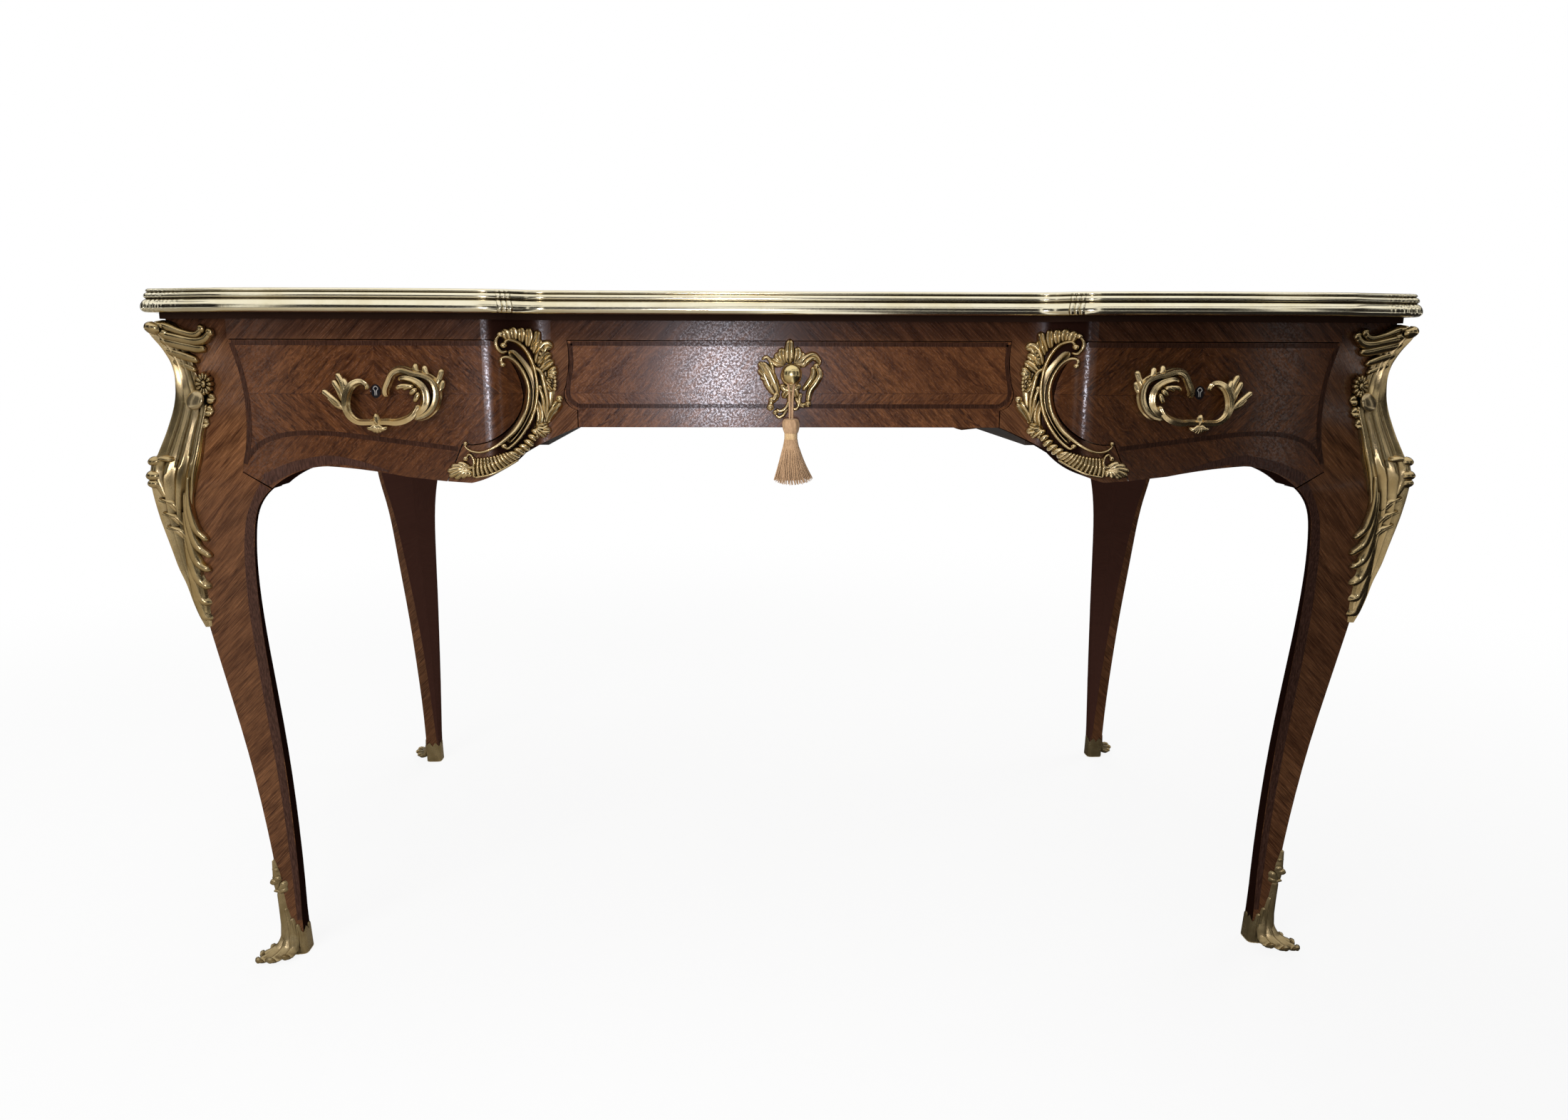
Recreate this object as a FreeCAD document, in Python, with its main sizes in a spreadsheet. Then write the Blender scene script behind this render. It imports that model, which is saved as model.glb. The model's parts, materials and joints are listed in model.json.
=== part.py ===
import FreeCAD, Part
import math
import os

import Sketcher
from FreeCAD import Vector

# A writing desk with three frieze drawers on four curved legs, with gilt metal mounts.
# Millimetres, +Z up, the front faces -Y, origin on the floor under the middle of the top.

# Driving dimensions
SIZES = [
    ("height", 780, "floor to the upper face of the top"),
    ("top_thick", 30, "top with its metal edge"),
    ("overhang", 20, "top past the frame"),
    ("edge_width", 16, "metal edge, from the board to its outer bead"),
    ("skin_thick", 2, "border veneer and leather on the board"),
    ("leather_margin", 66, "frame line to the leather"),
    ("seam_in", 30, "leg corner to the seam of the metal edge"),
    ("clasp_width", 14, "clasp over the break of the metal edge"),
    ("clasp_proud", 2.5, "clasp past the outer bead"),
    ("frame_x", 646, "middle to a leg's corner, across"),
    ("frame_y", 360, "middle to a leg's corner, front to back"),
    ("side_bow", 10, "bow of a side frieze"),
    ("side_thick", 20, "leg corner line to the inner face of a side frieze"),
    ("side_rise", 30, "arch of a side frieze's lower edge"),
    ("centre_set", 2, "recessed centre of the front, behind the leg corners"),
    ("block_step", 32, "crown of a side block, before the leg corners"),
    ("block_sag", 7, "crown of a side block over its ends"),
    ("post_width", 72, "leg post, from its corner to the drawer"),
    ("post_depth", 103, "leg post, from its corner to the side frieze"),
    ("hollow_radius", 62, "hollow beside the recessed centre"),
    ("nose_radius", 46, "rounded inner end of a side block"),
    ("front_thick", 28, "front and back frame behind the recessed line"),
    ("rail_height", 20, "rail over the drawers"),
    ("stile_width", 82, "stile, from the centre drawer to the side block"),
    ("centre_half", 236, "middle to the end of the centre drawer"),
    ("centre_depth", 91, "height of the centre drawer's front"),
    ("arch_drop", 129, "drawer top to the crown of the apron's arch"),
    ("joint_drop", 136, "drawer top to the upper end of the ear joint"),
    ("belly_drop", 147, "drawer top to the lowest line of the apron"),
    ("ear_drop", 153, "drawer top to the lower end of the ear joint"),
    ("drawer_gap", 1, "gap round a drawer front"),
    ("drawer_short", 100, "drawer box, shorter than the frame is deep"),
    ("drawer_wall", 12, "drawer sides and back"),
    ("drawer_floor", 6, "drawer bottom"),
    ("floor_groove", 5, "depth and height of the groove for the bottom"),
    ("box_headroom", 8, "drawer top to the upper edge of its box"),
    ("side_box", 88, "height of a side drawer's box"),
    ("centre_box", 66, "height of the centre drawer's box"),
    ("block_front", 47, "thickness of a side drawer's front at its crown"),
    ("runner_thick", 16, "drawer runners"),
    ("run_gap", 0.3, "drawer box over its runner"),
    ("guide_gap", 1, "drawer box beside its guide and under its kicker"),
    ("guide_height", 14, "guides over the runners"),
    ("partition_thick", 28, "partitions between the drawers"),
    ("partition_in", 26, "centre drawer's end to a partition's inner face"),
    ("runner_bear", 13, "inner runner under a side drawer's box"),
    ("stop_length", 24, "drawer stops"),
    ("block_size", 26, "glue blocks"),
    ("block_length", 70, "glue blocks, along the frieze"),
    ("sole_thick", 5, "metal shoe under the wooden foot"),
    ("shoe_wall", 3, "metal shoe round the foot"),
    ("shoe_height", 42, "metal shoe's cuff over the floor"),
    ("spine_height", 110, "leaf on the shoe's corner, over the floor"),
    ("toe_reach", 23, "toe of the shoe past the leg's corner"),
    ("mount_length", 323, "corner mount, from its head to its tail"),
    ("mount_thick", 3, "edges of a corner mount"),
    ("scroll_proud", 8, "scroll mounts past the front"),
    ("scroll_inset", 1.5, "scroll mounts inside the stile's outline"),
    ("handle_radius", 4.2, "handle's bar"),
    ("handle_off", 14.3, "handle's bar, from the drawer to its middle"),
    ("stud_radius", 2, "handle studs"),
    ("stud_gap", 0.2, "hole round a handle stud"),
    ("nut_radius", 5, "nuts on the handle studs"),
    ("nut_thick", 4, "nuts on the handle studs"),
    ("screw_radius", 2.2, "screws that hold the top"),
    ("screw_head", 4.5, "heads of those screws"),
    ("screw_bite", 16, "screw into the top board"),
    ("lock_width", 60, "lock case"),
    ("lock_height", 46, "lock case"),
    ("lock_thick", 12, "lock case"),
    ("bolt_width", 24, "lock bolt"),
    ("bolt_thick", 5, "lock bolt"),
    ("bolt_height", 32, "lock bolt"),
    ("bolt_gap", 0.3, "lock bolt in its case"),
    ("bolt_throw", 8, "rise of a lock bolt"),
    ("key_drop", 34, "drawer top to the keyhole"),
    ("key_radius", 3, "key's stem"),
    ("key_gap", 0.4, "hole round the key's stem"),
    ("key_out", 24, "key's collar, in front of the drawer"),
    ("knob_radius", 10.5, "key's round bow"),
    ("knob_depth", 11, "key's round bow, front to back"),
    ("plate_thick", 5, "keyhole plate on the centre drawer"),
    ("plate_width", 66, "keyhole plate"),
    ("plate_rise", 34, "keyhole plate over the keyhole"),
    ("plate_fall", 48, "keyhole plate under the keyhole"),
    ("liner_radius", 6, "keyhole liner of a side drawer"),
    ("liner_thick", 2, "keyhole liner of a side drawer"),
    ("liner_hole", 1.8, "round hole of that liner"),
    ("cord_radius", 1.4, "tassel cord"),
    ("cord_gap", 0.4, "tassel cord round the key's neck"),
    ("cord_fall", 46, "key to the tassel's head"),
    ("strand_apart", 3.2, "two strands of the cord at the tassel's head"),
    ("head_radius", 8, "tassel's head"),
    ("head_height", 15, "tassel's head"),
    ("bind_radius", 7, "binding under the tassel's head"),
    ("bind_height", 7, "binding under the tassel's head"),
    ("skirt_radius", 20.5, "tassel's skirt at its hem"),
    ("skirt_length", 47, "tassel's skirt"),
]

doc = FreeCAD.newDocument("writing_desk")
sheet = doc.addObject("Spreadsheet::Sheet", "Sizes")
for row, (alias, number, note) in enumerate(SIZES, start=1):
    sheet.set(f"A{row}", note)
    sheet.set(f"B{row}", str(number))
    sheet.setAlias(f"B{row}", alias)
doc.recompute()


class Size:
    """A length as a number, with the expression over the sheet that gives it."""

    def __init__(self, number, text):
        self.number = float(number)
        self.text = text

    def __float__(self):
        return self.number

    def joined(self, other, sign, work, turned=False):
        other = other if isinstance(other, Size) else Size(other, repr(float(other)))
        left, right = (other, self) if turned else (self, other)
        return Size(work(left.number, right.number), f"({left.text} {sign} {right.text})")

    def __add__(self, other):
        return self.joined(other, "+", lambda a, b: a + b)

    def __radd__(self, other):
        return self.joined(other, "+", lambda a, b: a + b, turned=True)

    def __sub__(self, other):
        return self.joined(other, "-", lambda a, b: a - b)

    def __rsub__(self, other):
        return self.joined(other, "-", lambda a, b: a - b, turned=True)

    def __mul__(self, other):
        return self.joined(other, "*", lambda a, b: a * b)

    def __rmul__(self, other):
        return self.joined(other, "*", lambda a, b: a * b, turned=True)

    def __truediv__(self, other):
        return self.joined(other, "/", lambda a, b: a / b)

    def __neg__(self):
        return self * -1


class Sheet:
    """The sheet's sizes by name."""

    def __getattr__(self, alias):
        return Size(sheet.get(alias), f"Sizes.{alias}")


S = Sheet()
NODES = []

# Levels and lines that several pieces share
frame_top = S.height - S.top_thick
drawer_top = frame_top - S.rail_height
box_top = drawer_top - S.box_headroom
block_in = S.centre_half + S.stile_width
post_x = S.frame_x - S.post_width
centre_y = S.frame_y - S.centre_set
block_y = S.frame_y + S.block_step
block_end_y = block_y - S.block_sag
frame_back = centre_y - S.front_thick
drawer_length = frame_back * 2 - S.drawer_short
side_inner = S.frame_x - S.side_thick
leg_side_y = S.frame_y - S.post_depth
partition_x = S.centre_half + S.partition_in
board_out = S.overhang - S.edge_width
key_z = drawer_top - S.key_drop


def v(x, y, z=0.0):
    return Vector(float(x), float(y), float(z))


def node(made):
    """Keeps a sub-part for the checks and the files at the end."""
    NODES.append(made)
    return made


def feature(label, shape):
    made = doc.addObject("Part::Feature", label)
    made.Shape = shape
    return made


def place(made, base):
    for axis, where in zip("xyz", base):
        where = where if isinstance(where, Size) else Size(where, repr(float(where)))
        made.setExpression(f"Placement.Base.{axis}", where.text)


def box(label, low, sides):
    """A box from its low corner and its three sides."""
    made = doc.addObject("Part::Box", label)
    for name, side in zip(("Length", "Width", "Height"), sides):
        made.setExpression(name, side.text)
    place(made, low)
    return made


def rod(label, base, radius, length, along):
    """A round rod from the middle of its end face, along a direction."""
    made = doc.addObject("Part::Cylinder", label)
    made.Placement.Rotation = FreeCAD.Rotation(Vector(0, 0, 1), along)
    made.setExpression("Radius", radius.text)
    made.setExpression("Height", length.text)
    place(made, base)
    return made


def cut(label, base, tools):
    """A piece with holes: the tools are gathered first."""
    gathered = doc.addObject("Part::Compound", f"{label}_tools")
    gathered.Links = tools
    made = doc.addObject("Part::Cut", label)
    made.Base = base
    made.Tool = gathered
    return made


def joined(label, pieces):
    made = doc.addObject("Part::MultiFuse", label)
    made.Shapes = pieces
    return made


def group(label, pieces):
    """Separate solids of one kind that share a node."""
    made = doc.addObject("Part::Compound", label)
    made.Links = pieces
    return made


def turned(label, profile, base, rotation):
    """A turned body: a profile of (radius, height) corners, revolved about its own axis."""
    body = doc.addObject("PartDesign::Body", label)
    sketch = body.newObject("Sketcher::SketchObject", f"{label}_profile")
    planes = {feature.Role: feature for feature in body.Origin.OriginFeatures}
    sketch.AttachmentSupport = (planes["XZ_Plane"], [""])
    sketch.MapMode = "FlatFace"
    count = len(profile)
    corners = [v(radius, height) for radius, height in profile]
    for index, corner in enumerate(corners):
        sketch.addGeometry(Part.LineSegment(corner, corners[(index + 1) % count]), False)
    for index, (radius, height) in enumerate(profile):
        sketch.addConstraint(Sketcher.Constraint("Coincident", index, 2, (index + 1) % count, 1))
        for kind, axis, where in (("DistanceX", -2, radius), ("DistanceY", -1, height)):
            if float(where) == 0.0:
                sketch.addConstraint(Sketcher.Constraint("PointOnObject", index, 1, axis))
                continue
            number = sketch.addConstraint(Sketcher.Constraint(kind, -1, 1, index, 1, float(where)))
            sketch.setExpression(f"Constraints[{number}]", where.text)
    turn = body.newObject("PartDesign::Revolution", f"{label}_turn")
    turn.Profile = sketch
    turn.ReferenceAxis = (sketch, ["V_Axis"])
    turn.Angle = 360
    body.Placement.Rotation = rotation
    place(body, base)
    return body


def mirrored(shape):
    """The same shape on the desk's other side."""
    return shape.mirror(Vector(0, 0, 0), Vector(1, 0, 0))


def turned_back(shape):
    """The same shape at the desk's back."""
    return shape.mirror(Vector(0, 0, 0), Vector(0, 1, 0))


# The front line in plan: straight centre, hollow, rounded nose and bowed side block, tangent to each other
block_half = float(post_x - block_in) / 2
block_mid = float(block_in) + block_half
sag = float(S.block_sag)
bow_radius = (block_half**2 + sag**2) / (2 * sag)
bow_turn = math.asin(block_half / bow_radius)
hollow, nose = float(S.hollow_radius), float(S.nose_radius)
set_back = float(block_end_y - centre_y)
ogee_turn = math.acos((hollow + nose * math.cos(bow_turn) - set_back) / (hollow + nose))
ogee_run = hollow * math.sin(ogee_turn) + nose * (math.sin(ogee_turn) - math.sin(bow_turn))
hollow_x = float(block_in) - ogee_run


def ring_point(centre, radius, angle):
    return v(centre.x + radius * math.cos(angle), centre.y + radius * math.sin(angle))


def arc(centre, radius, start, end):
    points = [ring_point(centre, radius, start + (end - start) * share) for share in (0, 0.5, 1)]
    return Part.Arc(*points).toShape()


def front_arcs(out):
    """The right half's three arcs, moved outwards by a distance: hollow, nose and block."""
    down = 1.5 * math.pi
    hollow_centre = v(hollow_x, -float(centre_y) - hollow)
    nose_centre = ring_point(hollow_centre, hollow + nose, math.pi / 2 - ogee_turn)
    bow_centre = v(block_mid, bow_radius - float(block_y))
    return [
        arc(hollow_centre, hollow - out, math.pi / 2, math.pi / 2 - ogee_turn),
        arc(nose_centre, nose + out, down - ogee_turn, down - bow_turn),
        arc(bow_centre, bow_radius + out, down - bow_turn, down + bow_turn),
    ]


def front_line(out):
    """Edges of the whole front line from the left post to the right one."""
    right = front_arcs(out)
    left = [mirrored(edge) for edge in right]
    start = v(-hollow_x, -float(centre_y) - out)
    centre = Part.LineSegment(start, v(hollow_x, start.y)).toShape()
    return [*reversed(left), centre, *right]


def front_y(x):
    """Depth of the front line under a side block."""
    return bow_radius - float(block_y) - math.sqrt(bow_radius**2 - (x - block_mid) ** 2)


def ends(edges):
    points = [vertex.Point for edge in edges for vertex in edge.Vertexes]
    return min(points, key=lambda p: p.x), max(points, key=lambda p: p.x)


def closed_face(edges):
    return Part.Face(Part.Wire(Part.__sortEdges__(edges)))


def front_slab(out, back, low, high):
    """A slab between the front line and a straight back line."""
    edges = front_line(out)
    left, right = ends(edges)
    corners = [right, v(right.x, -float(back)), v(left.x, -float(back)), left]
    edges += [Part.LineSegment(a, b).toShape() for a, b in zip(corners, corners[1:])]
    face = closed_face(edges)
    face.translate(v(0, 0, low))
    return face.extrude(v(0, 0, float(high) - float(low)))


def top_outline(out):
    """The outline of the top, at a distance outside the frame."""
    edges = front_line(out)
    left, right = ends(edges)
    reach = 0.95 * out
    tip = v(float(S.frame_x) + reach, -float(S.frame_y) - reach)
    half = [*edges, Part.LineSegment(right, tip).toShape()]
    half.append(Part.LineSegment(left, v(-tip.x, tip.y)).toShape())
    bow = float(S.frame_x) + float(S.side_bow) + out
    side = Part.Arc(tip, v(bow, 0), v(tip.x, -tip.y)).toShape()
    return closed_face([*half, *[turned_back(edge) for edge in half], side, mirrored(side)])


def top_slab(out, low, high):
    face = top_outline(out)
    face.translate(v(0, 0, low))
    return face.extrude(v(0, 0, float(high) - float(low)))


# Outlines seen from the front, on the right half
def along(share):
    """Across a side block, from its inner end to the leg post."""
    return float(block_in) + share * float(post_x - block_in)


def on_stile(share):
    """Across the stile, from the side block's inner end."""
    return float(block_in) + share * float(S.stile_width)


def under(drop):
    return float(drawer_top) - float(drop)


def path(start, steps):
    """Edges in the front plane: a step is a point, or the middle and the end of an arc."""
    edges, here = [], start
    for step in steps:
        if isinstance(step[0], tuple):
            middle, end = step
            edges.append(Part.Arc(v(here[0], 0, here[1]), v(middle[0], 0, middle[1]), v(end[0], 0, end[1])).toShape())
        else:
            end = step
            edges.append(Part.LineSegment(v(here[0], 0, here[1]), v(end[0], 0, end[1])).toShape())
        here = end
    return edges


REACH = 520


def pushed(edges):
    """A closed outline in the front plane, drawn out towards the front."""
    return Part.Face(Part.Wire(Part.__sortEdges__(edges))).extrude(v(0, -REACH, 0))


drop = float(S.belly_drop)
ear = (along(0.871), under(S.ear_drop))
ear_top = (float(post_x) - 3, under(S.joint_drop))
post_waist = (float(post_x) - 12, under(S.joint_drop * 0.53))
arch_side = (along(0.766), under(S.arch_drop + 7))
arch = (along(0.633), under(S.arch_drop))
arch_fall = (along(0.46), under(S.arch_drop + 4.5))
belly_start = (along(0.316), under(S.belly_drop - 7))
tail = (on_stile(0.488), under(S.belly_drop - 2))
belly = (along(0.0625), under(S.belly_drop))
knee_low = (on_stile(-0.11), under(drop - 9))
knee_high = (on_stile(-0.378), under(drop - 26))
ogee_mid = (on_stile(-0.732), under(float(S.centre_depth) + 14))
centre_foot = (float(S.centre_half) - 10, under(S.centre_depth))
centre_bracket = (float(S.centre_half) - 10, under(S.centre_depth * 0.8))
bracket_mid = (float(S.centre_half) + 0.5, under(S.centre_depth * 0.73))
centre_bulge = (float(S.centre_half) + 3, under(S.centre_depth * 0.57))
bulge_mid = (float(S.centre_half) - 2, under(S.centre_depth * 0.28))
centre_head = (float(S.centre_half) - 1, under(0))
hook_head = (on_stile(-0.134), under(0))
hook_high = (on_stile(-0.366), under(drop * 0.184))
hook_mid = (on_stile(-0.463), under(drop * 0.395))
hook_low = (on_stile(-0.268), under(drop * 0.633))
hook_tip = (on_stile(0.28), under(drop * 0.728))


def moved(point, dx, dz=0.0):
    return (point[0] + dx, point[1] + dz)


def apron_steps():
    """The lower edge of a side drawer, from its tail to the leg's ear."""
    return [belly_start, (arch_fall, arch), (arch_side, ear)]


def ogee_steps():
    """The lower edge of a stile, from the apron's lowest line to the centre drawer."""
    return [(knee_low, knee_high), (ogee_mid, centre_foot)]


def side_drawer_outline(gap):
    start = (float(post_x) - gap, under(gap))
    inner = [
        (moved(hook_high, gap), moved(hook_mid, gap)),
        (moved(hook_low, gap, gap), moved(hook_tip, gap, gap)),
        moved(tail, gap),
    ]
    steps = [(hook_head[0] + gap, under(gap)), *inner, *apron_steps()[:-1]]
    steps += [(arch_side, moved(ear, -gap, gap)), moved(ear_top, -gap, gap)]
    steps += [(moved(post_waist, -gap), start)]
    return path(start, steps)


def stile_outline(inset=0.0):
    """The stile, or a plate on it that stays inside it by a distance."""
    head = (hook_head[0] - inset, under(0))
    lower = (belly[0], belly[1] + inset)
    steps = [moved(centre_head, inset), (moved(bulge_mid, inset), moved(centre_bulge, inset))]
    steps += [(moved(bracket_mid, inset), moved(centre_bracket, inset)), moved(centre_foot, inset, inset)]
    steps += [(moved(ogee_mid, 0, inset), moved(knee_high, 0, inset)), (moved(knee_low, 0, inset), lower)]
    steps += [moved(tail, -inset, inset), moved(hook_tip, -inset, -inset)]
    steps += [(moved(hook_low, -inset, -inset), moved(hook_mid, -inset)), (moved(hook_high, -inset), head)]
    return path(head, steps)


def centre_drawer_outline(gap):
    right = [(moved(bulge_mid, -gap), moved(centre_bulge, -gap))]
    right += [(moved(bracket_mid, -gap), moved(centre_bracket, -gap)), moved(centre_foot, -gap)]
    head = (centre_head[0] - gap, under(gap))
    half = path(head, right)
    across = [Part.LineSegment(v(-x, 0, z), v(x, 0, z)).toShape() for x, z in (head, moved(centre_foot, -gap))]
    return [*half, *[mirrored(edge) for edge in half], *across]


def frieze_outline():
    """The whole half frieze under the top, with the apron's edge and no openings."""
    start = (0.0, float(frame_top))
    steps = [(float(post_x), float(frame_top)), (float(post_x), under(0)), (post_waist, ear_top), ear]
    steps += [(arch_side, arch), (arch_fall, belly_start), belly, *ogee_steps(), (0.0, under(S.centre_depth)), start]
    return path(start, steps)


def leg_cutter():
    """What the rail and the drawer take out of a leg post."""
    clear = 20
    inside = along(0.5)
    start = (inside, float(frame_top) + clear)
    steps = [(float(post_x), float(frame_top) + clear), (float(post_x), under(0)), (post_waist, ear_top), ear]
    steps += [(inside, ear[1]), start]
    return pushed(path(start, steps))


# Legs: sections from the floor to the top, each with an outer corner, a front end, an inner corner and a side end
corner_shift = float(S.frame_x - S.frame_y)
ear_z = under(S.ear_drop)
# Share of the height to the ear, corner inside the frame's corner, width of a face, depth of its inner edge
LEG_LOW = [
    (0.0, 44.5, 22.0, 19.0),
    (0.087, 43.0, 22.8, 17.5),
    (0.208, 40.0, 27.4, 16.0),
    (0.347, 34.0, 34.0, 15.0),
    (0.485, 26.0, 41.5, 13.5),
    (0.624, 16.0, 50.0, 11.5),
    (0.763, 6.0, 60.0, 8.0),
]
# Share of the height to the ear, corner inside the frame's corner, front and side ends from the frame's corner,
# bow of the front end, depth of the inner edge
LEG_KNEE = [
    (0.867, -1.0, 71.5, 71.5, 6.0, 6.0),
    (0.936, -6.0, 80.5, 80.5, 18.0, 6.0),
    (1.0, -10.0, 105.0, 103.0, 29.0, 8.0),
]
# Share of the height from the ear to the top, corner inside the frame's corner, front end from the frame's corner
LEG_POST = [(0.2, -7.0, 93.0), (0.42, 5.0, 90.0), (0.6, 12.0, 90.0), (0.8, 7.0, 90.0), (1.0, 0.0, 90.0)]
POST_CORE = 62.0


def leg_stations():
    """Height and six corners of each section of the right front leg."""
    frame_x, frame_y = float(S.frame_x), float(S.frame_y)
    thick = float(S.front_thick)
    side_x = frame_x + float(S.side_bow) * 0.5
    stations = []
    for share, inset, width, edge in LEG_LOW:
        x, y = frame_x - inset, -(frame_y - inset)
        front, side = (x - width, y), (x, y + width)
        core = leg_core(width, edge)
        z = float(S.sole_thick) + share * (ear_z - float(S.sole_thick))
        stations.append((z, leg_corners((x, y), front, (x - core, y + core), side, edge)))
    for share, inset, front_run, side_run, bow, edge in LEG_KNEE:
        x, y = frame_x - inset, -(frame_y - inset)
        front = (frame_x - front_run, -frame_y - bow)
        side = (side_x - 3 * (1 - share), -frame_y + side_run)
        core = leg_core(front_run, edge)
        inner = (frame_x - core, -frame_y + core)
        stations.append((share * ear_z, leg_corners((x, y), front, inner, side, edge)))
    # The post starts on the outline of the last section, with the frame's full thickness
    inner = (frame_x - POST_CORE, -frame_y + POST_CORE)
    stations.append((ear_z, leg_corners((x, y), front, inner, side, thick)))
    for share, inset, front_run in LEG_POST:
        x, y = frame_x - inset, -(frame_y - inset)
        front = (frame_x - front_run, front_y(frame_x - front_run))
        side = (side_x, -frame_y + float(S.post_depth))
        z = ear_z + share * (float(frame_top) - ear_z)
        stations.append((z, leg_corners((x, y), front, inner, side, thick)))
    return stations


def leg_core(width, edge):
    """The inner corner of a section, just outside the line that joins the inner edges of its two faces."""
    bulge = 1.0
    return (width + edge) / 2 + bulge


def leg_corners(corner, front, inner, side, thick):
    front_in = (front[0], front[1] + thick)
    side_in = (side[0] - thick, side[1])
    return [corner, front, front_in, inner, side_in, side]


def polygon(corners, z):
    points = [v(x, y, z) for x, y in corners]
    return Part.makePolygon([*points, points[0]])


def between(stations, z):
    """The section at any height, straight between its neighbours."""
    for (low, first), (high, second) in zip(stations, stations[1:]):
        if low <= z <= high:
            share = (z - low) / (high - low)
            return [(a[0] + share * (b[0] - a[0]), a[1] + share * (b[1] - a[1])) for a, b in zip(first, second)]
    return stations[0][1] if z < stations[0][0] else stations[-1][1]


def loft(sections):
    """A smooth solid through sections, no stiffer than cubic."""
    return Part.makeLoft([polygon(corners, z) for z, corners in sections], True, False, False, 3)


stations = leg_stations()
knee = len(LEG_LOW) + len(LEG_KNEE)
leg_shape = loft(stations[:knee]).fuse(loft(stations[knee:])).cut(leg_cutter())


def unit(start, end):
    run = v(end[0] - start[0], end[1] - start[1])
    return run.normalize()


def wrap(z, width, tip, thick):
    """A kite round the leg's corner at a height: it reaches along both faces and out past the corner."""
    corners = between(stations, z)
    corner, front, side = corners[0], corners[1], corners[5]
    point = v(*corner)
    to_front, to_side = unit(corner, front), unit(corner, side)
    out = v(1, -1).normalize()
    front_out, side_out = v(to_front.y, -to_front.x), v(-to_side.y, to_side.x)
    front_out = front_out if front_out.y < 0 else front_out * -1
    side_out = side_out if side_out.x > 0 else side_out * -1
    depth = min(8.0, 0.4 * width)
    points = [
        point + to_front * width + front_out * thick,
        point + out * tip,
        point + to_side * width + side_out * thick,
        point + to_side * width - side_out * depth,
        point - (front_out + side_out) * depth,
        point + to_front * width - front_out * depth,
    ]
    return (z, [(p.x, p.y) for p in points])


# Corner mounts: share of the height from tail to head, reach along the faces, tip past the corner
MOUNT = [
    (0.0, 5, 2.5),
    (0.1, 11, 4.5),
    (0.25, 19, 7),
    (0.4, 24, 10),
    (0.53, 27, 18),
    (0.59, 27, 17),
    (0.69, 28, 9),
    (0.78, 36, 6.5),
    (0.84, 43, 7),
    (0.92, 46, 9),
    (0.98, 54, 16),
    (1.0, 50, 15),
]
mount_head = float(frame_top) - 7
mount_rise = float(S.mount_length)
mount_foot = mount_head - mount_rise
mount_shape = loft(
    [wrap(mount_foot + share * mount_rise, width, tip, float(S.mount_thick)) for share, width, tip in MOUNT]
).cut(leg_shape)


def shoe_section(z, toe, grow):
    corners = between(stations, max(z, float(S.sole_thick)))
    corner, front, inner, side = corners[0], corners[1], corners[3], corners[5]
    points = [(corner[0] + toe, corner[1] - toe), (front[0] - grow, front[1] - grow)]
    points += [(inner[0] - grow, inner[1] + grow), (side[0] + grow, side[1] + grow)]
    return (z, points)


# Metal shoes: share of the cuff's height, share of the toe's reach
SHOE = [(0.0, 1.0), (0.16, 0.93), (0.4, 0.42), (0.7, 0.2), (1.0, 0.16)]
shoe_wall, toe_reach = float(S.shoe_wall), float(S.toe_reach)
shoe = loft([shoe_section(share * float(S.shoe_height), toe * toe_reach, shoe_wall) for share, toe in SHOE])
# Leaf on the shoe's corner: share of its height, reach along the faces, tip past the corner
LEAF = [(0.0, 9, 5), (0.35, 7, 4.5), (0.7, 6, 5), (1.0, 2.5, 2.5)]
leaf_foot = float(S.shoe_height) - 6
leaf_rise = float(S.spine_height) - leaf_foot
leaf = loft([wrap(leaf_foot + share * leaf_rise, width, tip, 1.5) for share, width, tip in LEAF])
shoe_shape = shoe.fuse(leaf).cut(leg_shape)

for front_name, place_front in (("front", lambda shape: shape), ("back", turned_back)):
    node(feature(f"leg_{front_name}_right", place_front(leg_shape)))
    node(feature(f"leg_{front_name}_left", mirrored(place_front(leg_shape))))


def four(shape):
    front = [shape, mirrored(shape)]
    return [*front, *[turned_back(piece) for piece in front]]


node(feature("corner_mounts", Part.makeCompound(four(mount_shape))))
node(feature("foot_shoes", Part.makeCompound(four(shoe_shape))))

# Front frame: rail over the drawers and two shaped stiles between them
rail_blank = feature("front_top_rail_blank", front_slab(0, frame_back, drawer_top, frame_top))
front_stock = front_slab(0, frame_back, ear_z, drawer_top)
stile_shape = front_stock.common(pushed(stile_outline()))
node(feature("stile_right", stile_shape))
node(feature("stile_left", mirrored(stile_shape)))

# Back frieze: one shaped board with the front's outline
half_frieze = front_slab(0, frame_back, ear_z - 10, frame_top).common(pushed(frieze_outline()))
back_shape = turned_back(half_frieze.fuse(mirrored(half_frieze)).removeSplitter())
node(feature("back_frieze", back_shape))

# Side friezes: bowed outside, flat inside, with an arched lower edge
side_low = (float(leg_side_y), ear_z)
side_mid = (float(leg_side_y) * 0.6, ear_z + float(S.side_rise) * 0.72)
bow_line = Part.Arc(
    v(S.frame_x, -S.frame_y), v(S.frame_x + S.side_bow, 0), v(S.frame_x, S.frame_y)
).toShape()
inner_corners = [v(S.frame_x, S.frame_y), v(side_inner, S.frame_y), v(side_inner, -S.frame_y), v(S.frame_x, -S.frame_y)]
side_edges = [Part.LineSegment(a, b).toShape() for a, b in zip(inner_corners, inner_corners[1:])]
side_stock = closed_face([bow_line, *side_edges])
side_stock.translate(v(0, 0, ear_z))
side_stock = side_stock.extrude(v(0, 0, float(frame_top) - ear_z))
arch_top = v(0, 0, ear_z + float(S.side_rise))
lower = Part.Arc(v(0, -side_low[0], ear_z), arch_top, v(0, side_low[0], ear_z)).toShape()
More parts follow.
